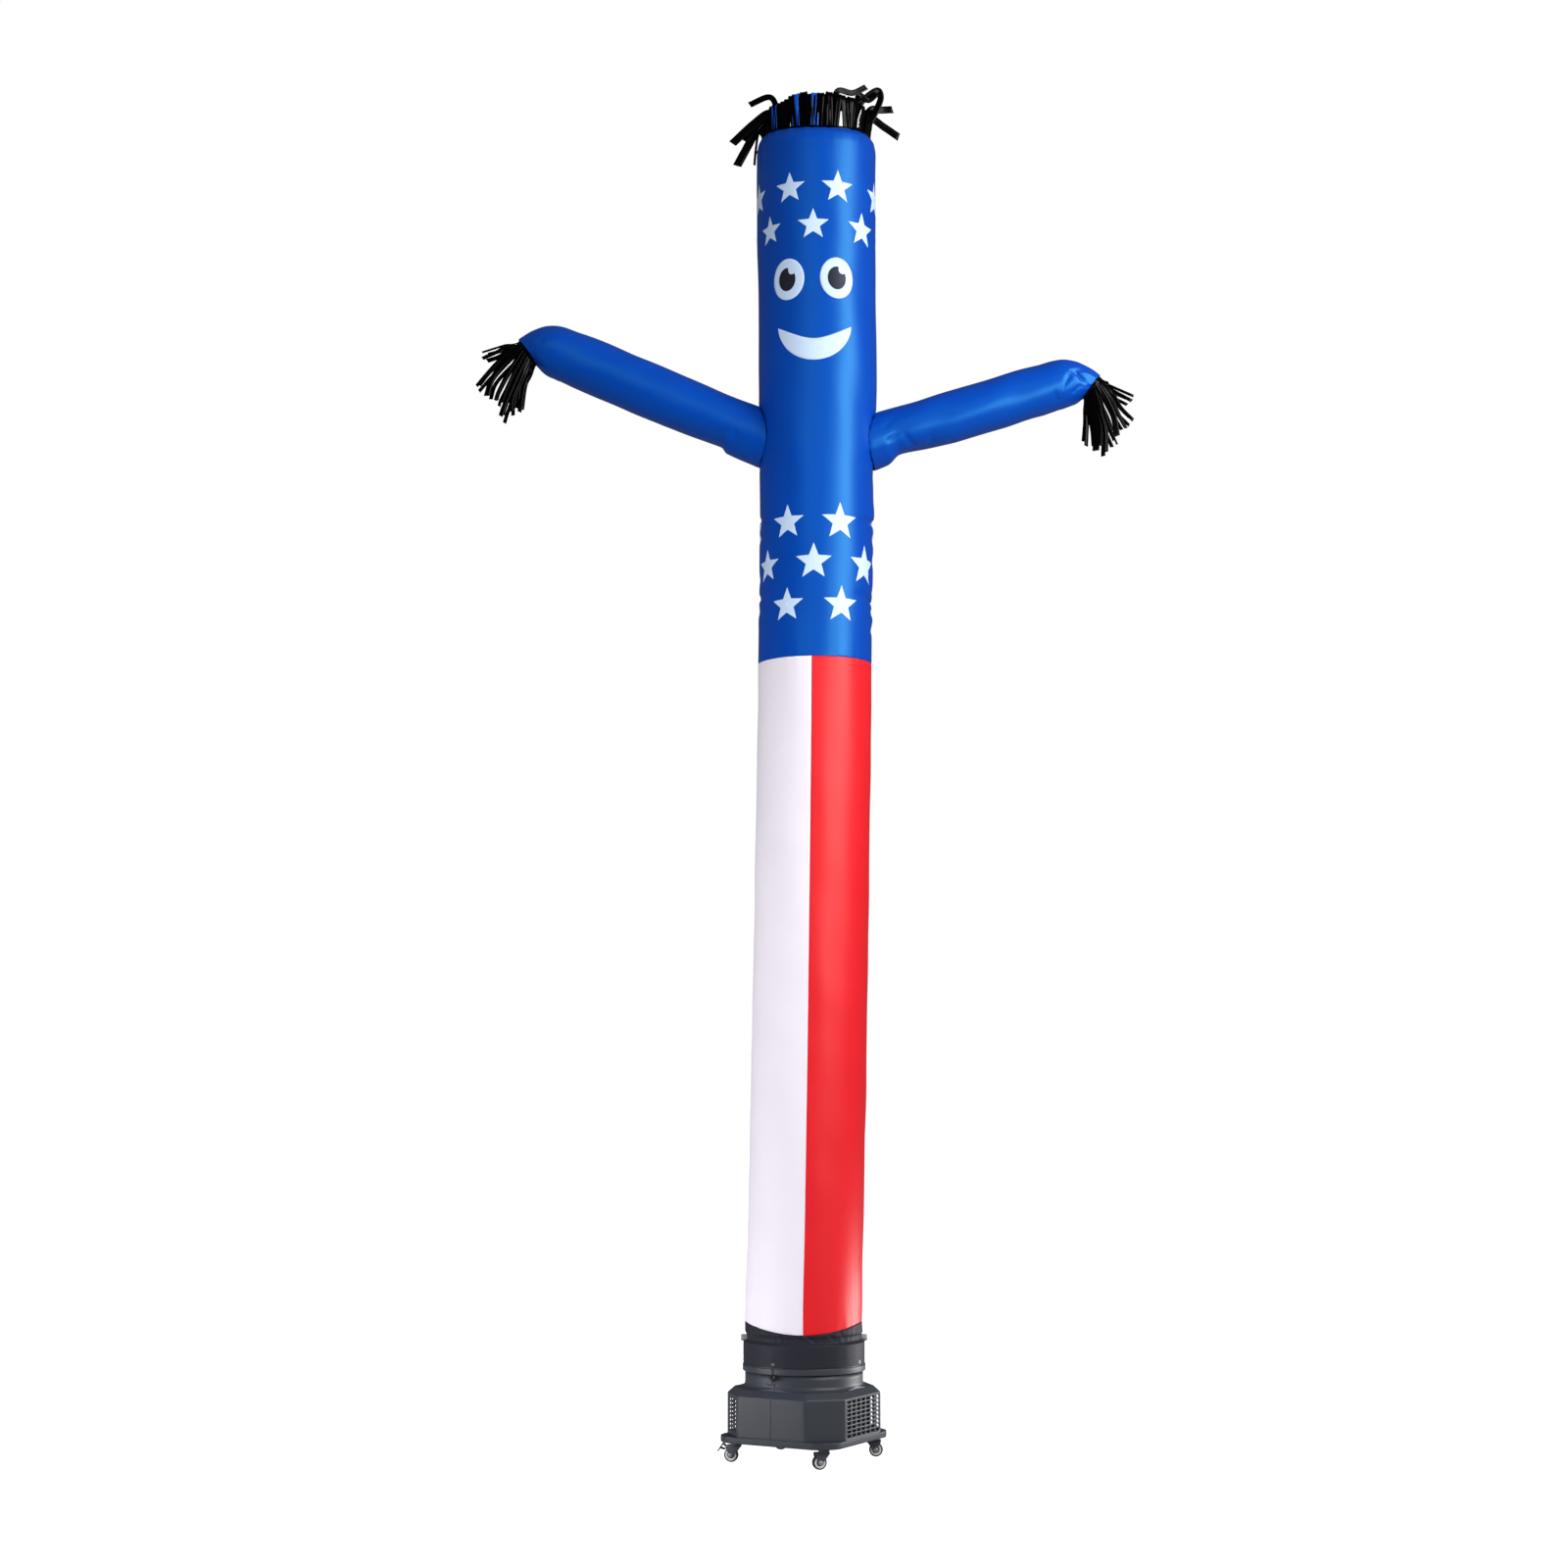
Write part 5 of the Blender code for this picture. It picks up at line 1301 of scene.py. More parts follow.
# Ribbons that flop outwards: width, and the places that they pass, in millimetres
HAIR_FLOPS = (
    (24, (-106, -150, 5262), (-112, -150, 5335), (-141, -125, 5375), (-216, -105, 5350)),
    (32, (-110, -135, 5240), (-135, -128, 5305), (-199, -112, 5268), (-285, -90, 5194)),
    (24, (-125, -115, 5240), (-150, -100, 5290), (-192, -88, 5256), (-234, -72, 5210)),
    (34, (-155, -55, 5240), (-178, -40, 5290), (-215, -20, 5227), (-268, 0, 5134)),
    (10, (-160, 10, 5245), (-180, 20, 5281), (-192, 30, 5216), (-198, 32, 5148)),
    (24, (120, -200, 5262), (135, -190, 5372), (198, -160, 5378), (254, -140, 5412)),
    (
        26,
        (205, -150, 5262), (232, -120, 5352), (296, -100, 5412),
        (314, -90, 5388), (296, -85, 5336), (268, -75, 5284),
    ),
    (22, (205, -150, 5262), (222, -130, 5378), (262, -112, 5366), (300, -105, 5398)),
    (29, (240, -90, 5262), (272, -60, 5345), (317, -35, 5356), (365, -20, 5364)),
    (30, (255, -10, 5252), (276, 0, 5330), (330, 20, 5306), (392, 40, 5270)),
    (24, (205, 150, 5250), (225, 178, 5335), (243, 210, 5305), (250, 240, 5262)),
    (26, (20, 215, 5235), (18, 245, 5325), (10, 285, 5310), (0, 310, 5255)),
    (22, (-100, 150, 5240), (-125, 175, 5330), (-160, 210, 5315), (-185, 240, 5270)),
)
rim_middle = tube_middle(RIM_Z)
inner_rim = bare_radius(RIM_Z) - CROWN_LOSSES[0] - CLOTH


def at_rim(degrees, radius, height):
    """Points round the rim's middle, from azimuths, radii and heights."""
    x, y = turn(degrees)
    return np.stack([rim_middle + radius * x, radius * y, np.broadcast_to(height, np.shape(x))], axis=-1)


def standing_hair(degrees, draw, inset, drop):
    """Ribbons that rise from the rim, fold over and hang a little way back inside."""
    count = len(degrees)
    top = np.interp(degrees, *np.array(HAIR_TOPS).T) - drop + draw.uniform(-2.5, 2.0, count) * MM
    rim = rim_line(degrees)
    lean = draw.uniform(-1.3, 1.3, count)
    for gap in HAIR_GAPS:
        # The neighbours of a gap close it at the top
        off = apart(degrees, gap)
        lean = lean - off * 0.55 * (np.abs(off) < 1.25 * HAIR_PITCH)
    for at in BLUE_HAIR:
        # The neighbours of a blue ribbon close over its foot
        off = apart(degrees, at)
        beside = (np.abs(off) > 0.1) * (np.abs(off) < 1.25 * HAIR_PITCH) * np.sign(off)
        degrees = degrees - 1.6 * beside
        lean = lean * (1 - np.abs(beside)) + 2.4 * beside
    bow = draw.uniform(0.0, 5.0, (4, count)) * MM
    r = inner_rim - inset
    rows = (
        (0.0, r - 0.4 * MM, rim - 0.019),
        (0.0, r - 0.2 * MM, rim + 0.004),
        (0.35, r + 1 * MM + bow[0] * 0.5, rim + (top - rim) * 0.40),
        (0.8, r + 3 * MM + bow[1], rim + (top - rim) * 0.78),
        (1.0, r - 1 * MM + bow[1], top - 3 * MM),
        (1.05, r - 13 * MM + bow[2], top - 1 * MM),
        (1.1, r - 24 * MM - bow[2], top - 16 * MM),
        (1.2, r - 30 * MM - 2 * bow[3], top - 42 * MM - 2 * bow[3]),
    )
    knots = np.stack([at_rim(degrees + lean * share, radius, z) for share, radius, z in rows], axis=1)
    paths = smooth_paths(knots, 5)
    n = paths.shape[1]
    twist = draw.uniform(-0.3, 0.3, count)[:, None] * np.linspace(0.0, 1.0, n)[None] ** 1.5
    x, y = turn(degrees)
    around = np.stack([-y, x, 0 * x], axis=-1)[:, None]
    outward = np.stack([x, y, 0 * x], axis=-1)[:, None]
    return paths, np.cos(twist)[..., None] * around + np.sin(twist)[..., None] * outward


HAIR_SEED = 11
draw = np.random.default_rng(HAIR_SEED)
degrees = -180.0 + HAIR_PITCH * (np.arange(HAIR_COUNT) + 0.5)
far = np.min([np.abs(apart(degrees, gap)) for gap in HAIR_GAPS + BLUE_HAIR], axis=0)
front = degrees[far > 0.5 * HAIR_PITCH]
front = front + draw.uniform(-0.6, 0.6, len(front))
behind = degrees[::2] + 0.5 * HAIR_PITCH
far = np.min([np.abs(apart(behind, gap)) for gap in HAIR_GAPS], axis=0)
behind = behind[far > 0.8 * HAIR_PITCH]
parts, cut_widths, cut_lengths = [], [], []
for azimuths, inset, drop in ((front, 0.8 * MM, 0.0), (behind, 3.0 * MM, 9 * MM)):
    paths, sides = standing_hair(azimuths, draw, inset, drop)
    widths = draw.uniform(25.0, 30.0, len(azimuths)) * MM
    part, lengths = ribbon_piece("hair_part", paths, sides, widths, FRINGE_BLACK)
    parts.append(part)
    cut_widths.extend(widths)
    cut_lengths.extend(lengths)
for width, *places in HAIR_FLOPS:
    path = smooth_paths(np.array([places]) * MM, 7)
    off = path[:, 0] - (rim_middle, 0.0, 0.0)
    root_side = unit(np.stack([-off[:, 1], off[:, 0], 0 * off[:, 0]], axis=1))
    # A flop turns its flat side to the front, or to the back behind the crown, as it falls
    facing = np.array((0.1, -1.0 if off[0, 1] < 0.1 else 1.0, -0.2))
    shares = ramp(np.linspace(0.0, 1.0, path.shape[1]), 0.0, 0.25)[None, :, None]
    side = turned_flat(path, root_side, facing, shares)
    part, lengths = ribbon_piece("hair_part", path, side, [width * MM], FRINGE_BLACK)
    parts.append(part)
    cut_widths.append(width * MM)
    cut_lengths.extend(lengths)
# The film's uncut edge, sewn inside the rim
around_rim = np.arange(180) * 2.0
levels = rim_line(around_rim)[None, :] + np.array((-22, -12, -4, 3, 9))[:, None] * MM
waves = 1.0 * MM * ripples(around_rim, 20, 50, 12)[None, :] * np.array((0, 0, 0, 0.6, 1.0))[:, None]
band = at_rim(around_rim[None, :] + 0 * levels, inner_rim - 0.5 * MM - 0.5 * MM * np.abs(waves), levels)
length_round = 2 * np.pi * inner_rim
band_uv = (round_u(length_round, len(around_rim)), np.arange(5) * 0.008)
parts.append(grid_object("hair_part", band, FRINGE_BLACK, wrap=True, cloth=band_uv))
hair = joined("hair_fringe", parts)
thicken(hair, FILM, 0.0)

blue = np.array(BLUE_HAIR)
paths, sides = standing_hair(blue, draw, 1.8 * MM, 3 * MM)
blue_widths = np.full(len(blue), BLUE_WIDTH)
blue_hair, lengths = ribbon_piece("hair_fringe_blue", paths, sides, blue_widths, FRINGE_BLUE)
thicken(blue_hair, FILM, 0.0)
for piece, slot in ((hair, "black_cloth"), (blue_hair, "blue_cloth")):
    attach(piece, "root")
    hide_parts("fringe_hair")
cut_widths.extend(blue_widths)
cut_lengths.extend(lengths)

# %% The hands
# Each front ribbon: its angle from the top of the cuff, its width in millimetres, a place that it
# passes and where its tip hangs, both as X and Z
RIBBONS_LEFT = (
    (8, 9, -1.222, 4.370, -1.290, 4.349),
    (28, 16, -1.233, 4.345, -1.288, 4.321),
    (48, 15, -1.256, 4.270, -1.309, 4.206),
    (64, 21, -1.246, 4.236, -1.269, 4.164),
    (80, 13, -1.218, 4.187, -1.233, 4.145),
    (94, 12, -1.195, 4.175, -1.206, 4.138),
    (108, 18, -1.191, 4.138, -1.211, 4.081),
    (124, 19, -1.165, 4.156, -1.169, 4.100),
    (140, 14, -1.150, 4.175, -1.160, 4.120),
    (158, 14, -1.131, 4.236, -1.144, 4.150),
    (176, 17, -1.121, 4.221, -1.138, 4.104),
)
RIBBONS_RIGHT = (
    (6, 12, 1.214, 4.219, 1.325, 4.169),
    (24, 15, 1.217, 4.203, 1.317, 4.147),
    (44, 15, 1.270, 4.119, 1.320, 4.066),
    (60, 14, 1.261, 4.091, 1.290, 4.032),
    (78, 26, 1.242, 4.072, 1.253, 3.999),
    (92, 9, 1.219, 4.049, 1.253, 3.965),
    (104, 16, 1.210, 4.027, 1.210, 3.935),
    (120, 15, 1.193, 4.042, 1.191, 3.959),
    (136, 23, 1.178, 4.049, 1.171, 3.942),
    (152, 18, 1.161, 4.057, 1.165, 3.961),
    (176, 18, 1.137, 4.068, 1.132, 3.964),
)
# The cuff's last ring, the way the fringe leaves it, the front ribbons, the uncut edge's radius, a
# seed, how far out the ribbons start, and how far the uncut edge reaches
HANDS = {
    "left": (SLEEVE_LEFT[-1], (-0.81, 0.0, -0.59), RIBBONS_LEFT, 0.0601, 41, 0.012, 0.038),
    "right": (SLEEVE_RIGHT[-1], (0.79, 0.0, -0.613), RIBBONS_RIGHT, 0.0557, 43, 0.022, 0.062),
}
# How far the uncut edge is sewn in, and what the flat film is longer than its longest ribbon
HAND_EDGE, HAND_EDGE_ADDS, HAND_COLUMNS = 0.012, 0.03, 72
for side, (cuff, cuff_dir, ribbons, ring_r, seed, root_out, band_out) in HANDS.items():
    draw = np.random.default_rng(seed)
    hand = np.sign(cuff_dir[0])
    way = unit(np.array(cuff_dir))
    up = np.array((-way[2] * hand, 0.0, way[0] * hand))
    centre = np.array((cuff[0], 0.0, cuff[1]))

    def spokes(angle):
        """The ways out from the cuff's middle, at angles from its top towards the front."""
        return np.cos(angle)[..., None] * up - np.sin(angle)[..., None] * np.array((0.0, 1.0, 0.0))

    # The uncut edge: a ring that narrows and crumples as it leaves the cuff and sinks a little
    angle = round_angles(HAND_COLUMNS)
    out = np.linspace(-HAND_EDGE, band_out, 15)[:, None]
    free = ramp(out, -0.002, band_out)
    crumple = 4.0 * MM * ripples(np.degrees(angle), 3, 9, seed + 5)[None] * free
    radius = ring_r - 0.4 * MM - 0.004 * free - np.abs(crumple)
    sink = np.array((0.0, 0.0, -0.016)) * free[..., None] ** 2
    # The ring's foot hangs, so it stays nearer to the cuff than its top
    reach = out * np.where(out > 0, 0.65 + 0.35 * np.cos(angle), 1.0)
    ring = centre + way * reach[..., None] + sink + radius[..., None] * spokes(angle)[None]
    order = ring if hand > 0 else ring[:, ::-1]
    band_uv = (round_u(2 * np.pi * ring_r, HAND_COLUMNS), out[:, 0])
    parts = [grid_object("hand_part", order, FRINGE_BLACK, wrap=True, cloth=band_uv)]

    # The front ribbons, then as many behind them, then a few that fill the middle
    steps, cut, via_x, via_z, tip_x, tip_z = np.array(ribbons, float).T
    count = len(steps)
    front = np.concatenate([np.ones(count), -np.ones(count), 0.5 * np.ones(count - 2)])
    aside = np.concatenate([np.zeros(count), np.full(count, 5.0), np.full(count - 2, 8.0)])
    steps = np.concatenate([steps, steps, steps[1:-1]]) + aside
    via_x, via_z, tip_x, tip_z = (np.concatenate([v, v, v[1:-1]]) for v in (via_x, via_z, tip_x, tip_z))
    loose = (aside > 0) * 1.0
    turned_by = np.radians(np.minimum(steps, 178.0)) * np.where(front < 0, -1.0, 1.0)
    upper = (0.5 + 0.5 * np.cos(turned_by))[:, None]
    from_middle = ring_r - 0.002 - 0.012 * (np.abs(front) < 1)
    root = centre + way * root_out * (0.2 + 0.8 * upper) + from_middle[:, None] * spokes(turned_by)
    depth = -(0.024 + 0.028 * np.abs(np.sin(turned_by))) * front
    via = np.stack([via_x, depth, via_z], axis=1)
    tip = np.stack([tip_x, depth * 0.9, tip_z], axis=1)
    slack = draw.uniform(-7.0, 7.0, (len(steps), 3)) * MM * loose[:, None]
    shorter = (draw.uniform(0.02, 0.30, len(steps)) * loose)[:, None]
    tip = tip + (via - tip) * shorter + slack
    leaves = root + 0.5 * (via - root) + (way * 0.012 + np.array((0.0, 0.0, 0.007))) * upper
    paths = smooth_paths(np.stack([root, leaves, via + 0.5 * slack, tip], axis=1), 9)
    n = paths.shape[1]
    tangent = -np.sin(turned_by)[:, None] * up - np.cos(turned_by)[:, None] * np.array((0.0, 1.0, 0.0))
    # A ribbon soon turns a flat side to the front or the back, some more than others
    most = draw.uniform(0.75, 1.0, len(steps))[:, None, None]
    shares = most * ramp(np.linspace(0.0, 1.0, n), 0.0, 0.45)[None, :, None]
    facing = np.stack([draw.uniform(-0.25, 0.25, len(steps)), -np.ones(len(steps)), 0 * steps - 0.1], axis=1)
    sides = turned_flat(paths, tangent, facing[:, None], shares)
    widths = np.concatenate([cut, draw.uniform(12.0, 18.0, len(steps) - count)]) * MM
    part, lengths = ribbon_piece("hand_part", paths, sides, widths, FRINGE_BLACK)
    fringe = joined(f"{side}_hand_fringe", [*parts, part])
    thicken(fringe, FILM, 0.0)
    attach(fringe, "root")
    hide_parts(f"fringe_hand_{side}")
    flat = (float(np.sum(widths)), float(np.max(lengths)) + HAND_EDGE_ADDS)

# %% [markdown]
# ## The blower's housing
#
# The housing is an eight-sided tub in two moulded halves, which meet in a parting line at the front
# and at the back. Its radius at an azimuth is the nearest of its eight faces, and a soft minimum
# rounds the corners between them as a mould does. The intake grilles are real holes: each is a cell
# of a grid whose middle faces are left out, and one modifier gives the whole half its wall.

# %% The housing's shape
PARTING_DEG = -29.5
HOUSING_R, HOUSING_CORNERS = 0.2956, (0.0, 31.0, 90.0, 121.0, 180.0, 211.0, 270.0, 301.0, 360.0)
# How far the wide faces stand from the axis, and how softly the faces meet
FACE_APOTHEM, CORNER_SOFT = 0.2573, 2.2 * MM
WALL = 3 * MM
NECK_R, NECK_TOP = 0.2270, 0.3386
HOUSING_FOOT, BEVEL_FOOT, BEVEL_TOP, BEVEL_IN = 0.1013, 0.254, 0.278, 0.026
# How far a row is moved in, and its height
HOUSING_ROWS = (
    (0.8 * MM, HOUSING_FOOT),
    (0.2 * MM, HOUSING_FOOT + 0.2 * MM),
    (0.0, HOUSING_FOOT + 0.8 * MM),
    *((0.0, z) for z in (0.10875, 0.1165, 0.1480, 0.1800, 0.2120, 0.2405, 0.24825)),
    (0.0, BEVEL_FOOT - 2.2 * MM),
    (0.5 * MM, BEVEL_FOOT - 0.6 * MM),
    (1.6 * MM, BEVEL_FOOT + 0.9 * MM),
    (3.2 * MM, BEVEL_FOOT + 2.6 * MM),
    (13.0 * MM, 0.2660),
    (23.0 * MM, 0.2755),
    (24.6 * MM, 0.2771),
    (25.6 * MM, 0.2777),
    (BEVEL_IN + 1 * MM, BEVEL_TOP),
)
# How far a row of the neck stands outside the neck, and its height over the bevel, in millimetres
NECK_ROWS = ((12, 1.5), (8, 3.2), (5, 5.2), (2.6, 8), (1, 12), (0.2, 16), (0, 20), (0, 40), (0, 59.8))
# The grilles' middle height, then the holes' size, pitch and corner radius in millimetres
GRILLE_Z, HOLE, HOLE_PITCH, HOLE_CORNER = 0.1785, (28.0, 10.0), (38.0, 15.5), 3.2
# Azimuth of the face's normal, its distance from the axis, holes across and up
GRILLES = ((60.5, 0.25728, 7, 9), (105.5, 0.28485, 3, 8))


def housing_radius(degrees, inward):
    """The nearest of the eight faces, each moved in: (apothem - inward) / cos(angle from its normal)."""
    corners = np.array(HOUSING_CORNERS)
    middles = (corners[1:] + corners[:-1]) / 2
    apothems = HOUSING_R * np.cos(np.radians(np.diff(corners) / 2))
    off = np.radians(apart(np.asarray(degrees)[..., None], middles))
    reach = np.where(np.cos(off) > 0.3, (apothems - inward) / np.maximum(np.cos(off), 0.3), 9.0)
    nearest = reach.min(axis=-1)
    over = reach - nearest[..., None]
    return nearest - CORNER_SOFT * np.log(np.exp(-over / CORNER_SOFT).sum(axis=-1))


def grille_half(across, apothem):
    """Half of a grille's width as an angle seen from the axis, in degrees."""
    return np.degrees(np.arctan(across * HOLE_PITCH[0] * MM / 2 / apothem))


def housing_wall(turned_by):
    """Half of the housing without its grilles: rows of an outline at the columns' azimuths."""
    first, last = PARTING_DEG, PARTING_DEG + 180.0
    edges = [first, last]
    for normal, apothem, across, _ in GRILLES:
        half = grille_half(across, apothem)
        edges += [normal - half, normal + half]
    columns = np.concatenate([np.arange(-28.0, 150.0, 1.5), edges])
    for corner in HOUSING_CORNERS:
        columns = np.concatenate([columns, corner + np.array((-2.5, -1.2, -0.6, 0.0, 0.6, 1.2, 2.5))])
    groove = np.degrees(np.array((0.5, 1.2, 2.0)) * MM / FACE_APOTHEM)
    columns = np.concatenate([columns, first + groove, last - groove])
    columns = np.unique(np.round(columns[(columns >= first) & (columns <= last)], 4))
    # The two halves stop short of each other by a gap, and a V groove runs along it
    trim = np.degrees(GAP / 2 / FACE_APOTHEM)
    shown = np.clip(columns, first + trim, last - trim)
    from_seam = np.minimum(shown - first, last - shown) * np.radians(1.0) * FACE_APOTHEM
    vee = 0.9 * MM * np.clip(1 - from_seam / (1.3 * MM), 0.0, 1.0)
    lines = [(housing_radius(shown, inset) - vee, z) for inset, z in HOUSING_ROWS]
    flat = housing_radius(shown, BEVEL_IN)
    lines += [
        (np.minimum(flat - 1 * MM, NECK_R + past * MM) - vee, min(BEVEL_TOP + rise * MM, NECK_TOP))
        for past, rise in NECK_ROWS
    ]
    x, y = turn(shown + turned_by)
    points = np.array([np.stack([r * x, r * y, np.full_like(r, z)], axis=1) for r, z in lines])
    keep = np.ones((len(lines) - 1, len(columns) - 1), bool)
    z_mid = (points[1:, 0, 2] + points[:-1, 0, 2]) / 2
    c_mid = (columns[1:] + columns[:-1]) / 2
    for normal, apothem, across, up in GRILLES:
        half = grille_half(across, apothem)
        tall = up * HOLE_PITCH[1] * MM / 2
        keep &= ~((np.abs(z_mid - GRILLE_Z) < tall)[:, None] & (np.abs(c_mid - normal) < half)[None])
    return points, keep.reshape(-1)


def grille_points(normal, apothem, across, up, turned_by):
    """A flat field of cells, five lines a cell each way, with the holes' corners moved onto a round."""
    steps = []
    for pitch, hole, count in zip(HOLE_PITCH, HOLE, (across, up)):
        straight = hole / 2 - HOLE_CORNER
        inner = np.array((-pitch / 2, -hole / 2, -straight, straight, hole / 2))
        middles = (np.arange(count) - (count - 1) / 2) * pitch
        steps.append(np.append((middles[:, None] + inner[None]).reshape(-1), middles[-1] + pitch / 2))
    u, v = np.meshgrid(*steps)
    column, row = np.arange(len(steps[0])) % 5, np.arange(len(steps[1])) % 5
    corner_u = ((column == 1) * 1 - (column == 4) * 1)[None, :] * np.ones_like(u)
    corner_v = ((row == 1) * 1 - (row == 4) * 1)[:, None] * np.ones_like(u)
    both = (corner_u != 0) & (corner_v != 0)
    pull = HOLE_CORNER * (1 - np.sqrt(0.5))
    u, v = u + both * corner_u * pull, v + both * corner_v * pull
    open_row, open_column = ((line[:-1] >= 1) & (line[:-1] <= 3) for line in (row, column))
    hole = open_row[:, None] & open_column[None, :]
    nx, ny = turn(normal + turned_by)
    normal_way, side = np.array((nx, ny, 0.0)), np.array((-ny, nx, 0.0))
    lift = np.array((0.0, 0.0, 1.0))
    points = normal_way * apothem + side * u[..., None] * MM + lift * (GRILLE_Z + v * MM)[..., None]
    return points, ~hole.reshape(-1)


for name, turned_by in (("housing_front", 0.0), ("housing_back", 180.0)):
    points, keep = housing_wall(turned_by)
    parts = [grid_object(f"{name}_shell", points, GREY_ABS, keep=keep)]
    for grille in GRILLES:
        points, keep = grille_points(*grille, turned_by)
        parts.append(grid_object("grille", points, GREY_ABS, keep=keep))
    shell = joined(f"{name}_shell", [without_loose_points(part) for part in parts])
    shell.data.set_sharp_from_angle(angle=np.radians(28))
    thicken(shell, WALL)
    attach(shell, "root")
    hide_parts(name)
    print(name, len(shell.data.polygons), "quads before the wall")

# %% [markdown]
# ## The collar, the pegs and the base plate
#
# The round parts of the blower are turned. The base plate is a square with large round corners,
# carried up through a few outlines that are each moved in a little, so that its edge is soft.

# %% The collar, the pegs, the gland and the base plate
COLLAR_PROFILE = (
    (0.3450, 0.2105),
    (0.3220, 0.2125),
    (0.3220, 0.2205),
    (0.3390, 0.2205),
    (0.3390, 0.2365),
    (0.3610, 0.2365),
    (0.3610, 0.2305),
    (0.4410, 0.2305),
    (0.4460, 0.2160),
    (0.4760, 0.2160),
    (0.4760, 0.2105),
    (0.3450, 0.2105),
)
collar = turned("collar", soften(COLLAR_PROFILE, 1.4 * MM), (0, 0, 0), (0, 0, 1), GREY_ABS, segments=192)
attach(collar, "root")
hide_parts("outlet_collar")

PEG_ROOT, PEG_END, PEG_R = 0.2164, 0.2450, 13 * MM
peg_long = PEG_END - PEG_ROOT
PEG_PROFILE = (
    (0.0, 0.0),
    (0.0, PEG_R),
    (peg_long - 8 * MM, PEG_R),
    (peg_long - 3.5 * MM, PEG_R - 1.0 * MM),
    (peg_long - 1.0 * MM, PEG_R - 4.5 * MM),
    (peg_long, PEG_R - 9.0 * MM),
    (peg_long, 0.0),
)
for side, sign in (("left", -1), ("right", 1)):
    start = (sign * PEG_ROOT, 0.0, PEG_Z)
    peg = turned(f"{side}_peg", soften(PEG_PROFILE, 2 * MM, 5), start, (sign, 0, 0), LIGHT_ABS, 64, 50.0)
    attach(peg, "root")
    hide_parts(f"peg_{side}")

GLAND_DEG, GLAND_ASIDE, GLAND_Z = 150.5, 0.075, 0.140
GLAND_PROFILE = ((0.0, 0.0), (0.0, 13.0), (6.0, 13.0), (7.0, 10.0), (17.0, 10.0), (24.0, 6.0), (24.0, 0.0))
nx, ny = turn(GLAND_DEG)
foot = np.array((nx, ny, 0.0)) * (FACE_APOTHEM + GAP) + np.array((-ny, nx, 0.0)) * GLAND_ASIDE
gland_shape = soften(np.array(GLAND_PROFILE) * MM, 0.8 * MM)
gland = turned("cable_gland_cap", gland_shape, foot + (0, 0, GLAND_Z), (nx, ny, 0.0), BLACK_ABS, 48)
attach(gland, "root")
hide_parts("cable_gland")

PLATE_HALF, PLATE_CORNER = 0.2585, 0.092
# Height, and how far the outline is moved in there in millimetres
PLATE_ROWS = (
    (0.0770, 3.0),
    (0.0772, 2.2),
    (0.0780, 1.0),
    (0.0795, 0.2),
    (0.0820, 0.0),
    (0.0980, 0.0),
    (0.1000, 0.1),
    (0.1006, 0.4),
    (0.1009, 0.9),
    (0.1010, 1.8),
)


def rounded_square(half, corner, turned_by, steps=20):
    """The outline of a square with round corners, in order of azimuth, as (x, y)."""
    middle = np.repeat(45.0 + 90.0 * np.arange(4), steps + 1)
    cx, cy = turn(middle)
    x, y = turn(middle + np.tile(np.linspace(-45.0, 45.0, steps + 1), 4))
    reach = np.sqrt(2) * (half - corner)
    x, y, angle = cx * reach + corner * x, cy * reach + corner * y, np.radians(turned_by)
    return np.stack([x * np.cos(angle) - y * np.sin(angle), x * np.sin(angle) + y * np.cos(angle)], axis=1)


rings = []
for z, inset in PLATE_ROWS:
    outline = rounded_square(PLATE_HALF - inset * MM, PLATE_CORNER - inset * MM, PARTING_DEG)
    rings.append(np.column_stack([outline, np.full(len(outline), z)]))
# The top and the bottom are closed by a tiny copy of their outline, which then becomes one point
rings = np.array([rings[0] * (0.001, 0.001, 1.0), *rings, rings[-1] * (0.001, 0.001, 1.0)])
plate = merged(grid_object("blower_base", rings, PLATE_ABS, wrap=True), 1.0 * MM)
plate.data.set_sharp_from_angle(angle=np.radians(40))
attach(plate, "root")
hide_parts("base_plate")

# %% [markdown]
# ## The casters
#
# Each caster is made where a drawing would put it, with its swivel on the Z axis, and then turned and
# carried to its place under the plate. The plate stays with the blower. The fork and the axle turn
# with the swivel, and the tyre and the hub turn with the wheel. The left caster has a brake pedal: a
# pin between the cheeks, an arm at each side that is bent from bar, and a tread across the arms.

# %% The casters
CASTER_R = 0.270
# Azimuth of the swivel, and the way the wheel trails, from +X towards +Y
CASTERS = {"front": (15.5, 197.0), "right": (105.5, -6.0), "rear": (195.5, 186.0), "left": (285.5, 168.0)}
TRAIL, WHEEL_R, CHEEK_IN, CHEEK = 0.018, 0.027, 12 * MM, 2.2 * MM
FORK_BACK, FORK_FRONT, CROWN_FRONT, CROWN_Z = -0.0190, 0.0370, 0.0275, (0.0600, 0.0640)
# The height of the race's foot, then up from there and radius, in millimetres
RACE_Z = 0.0610
RACE_PROFILE = ((0.0, 0.0), (0.0, 19.0), (4.0, 21.0), (11.0, 21.0), (12.0, 20.0), (12.0, 0.0))
# Sideways and radius in millimetres: half of the tyre, a stepped wheel face and the dark grey inner ring
TYRE_PROFILE = ((9.0, 21.3), (10.2, 22.2), (10.5, 23.6), (9.8, 25.2), (7.6, 26.5), (4.0, 26.95), (0.0, 27.0))
HUB_PROFILE = ((9.0, 21.0), (9.6, 20.0), (9.6, 17.2), (7.2, 16.2), (7.2, 13.0))
DARK_RING_PROFILE = ((7.4, 13.0), (9.4, 13.0), (9.8, 12.6), (9.8, 9.6), (10.5, 9.2), (10.5, 4.3))


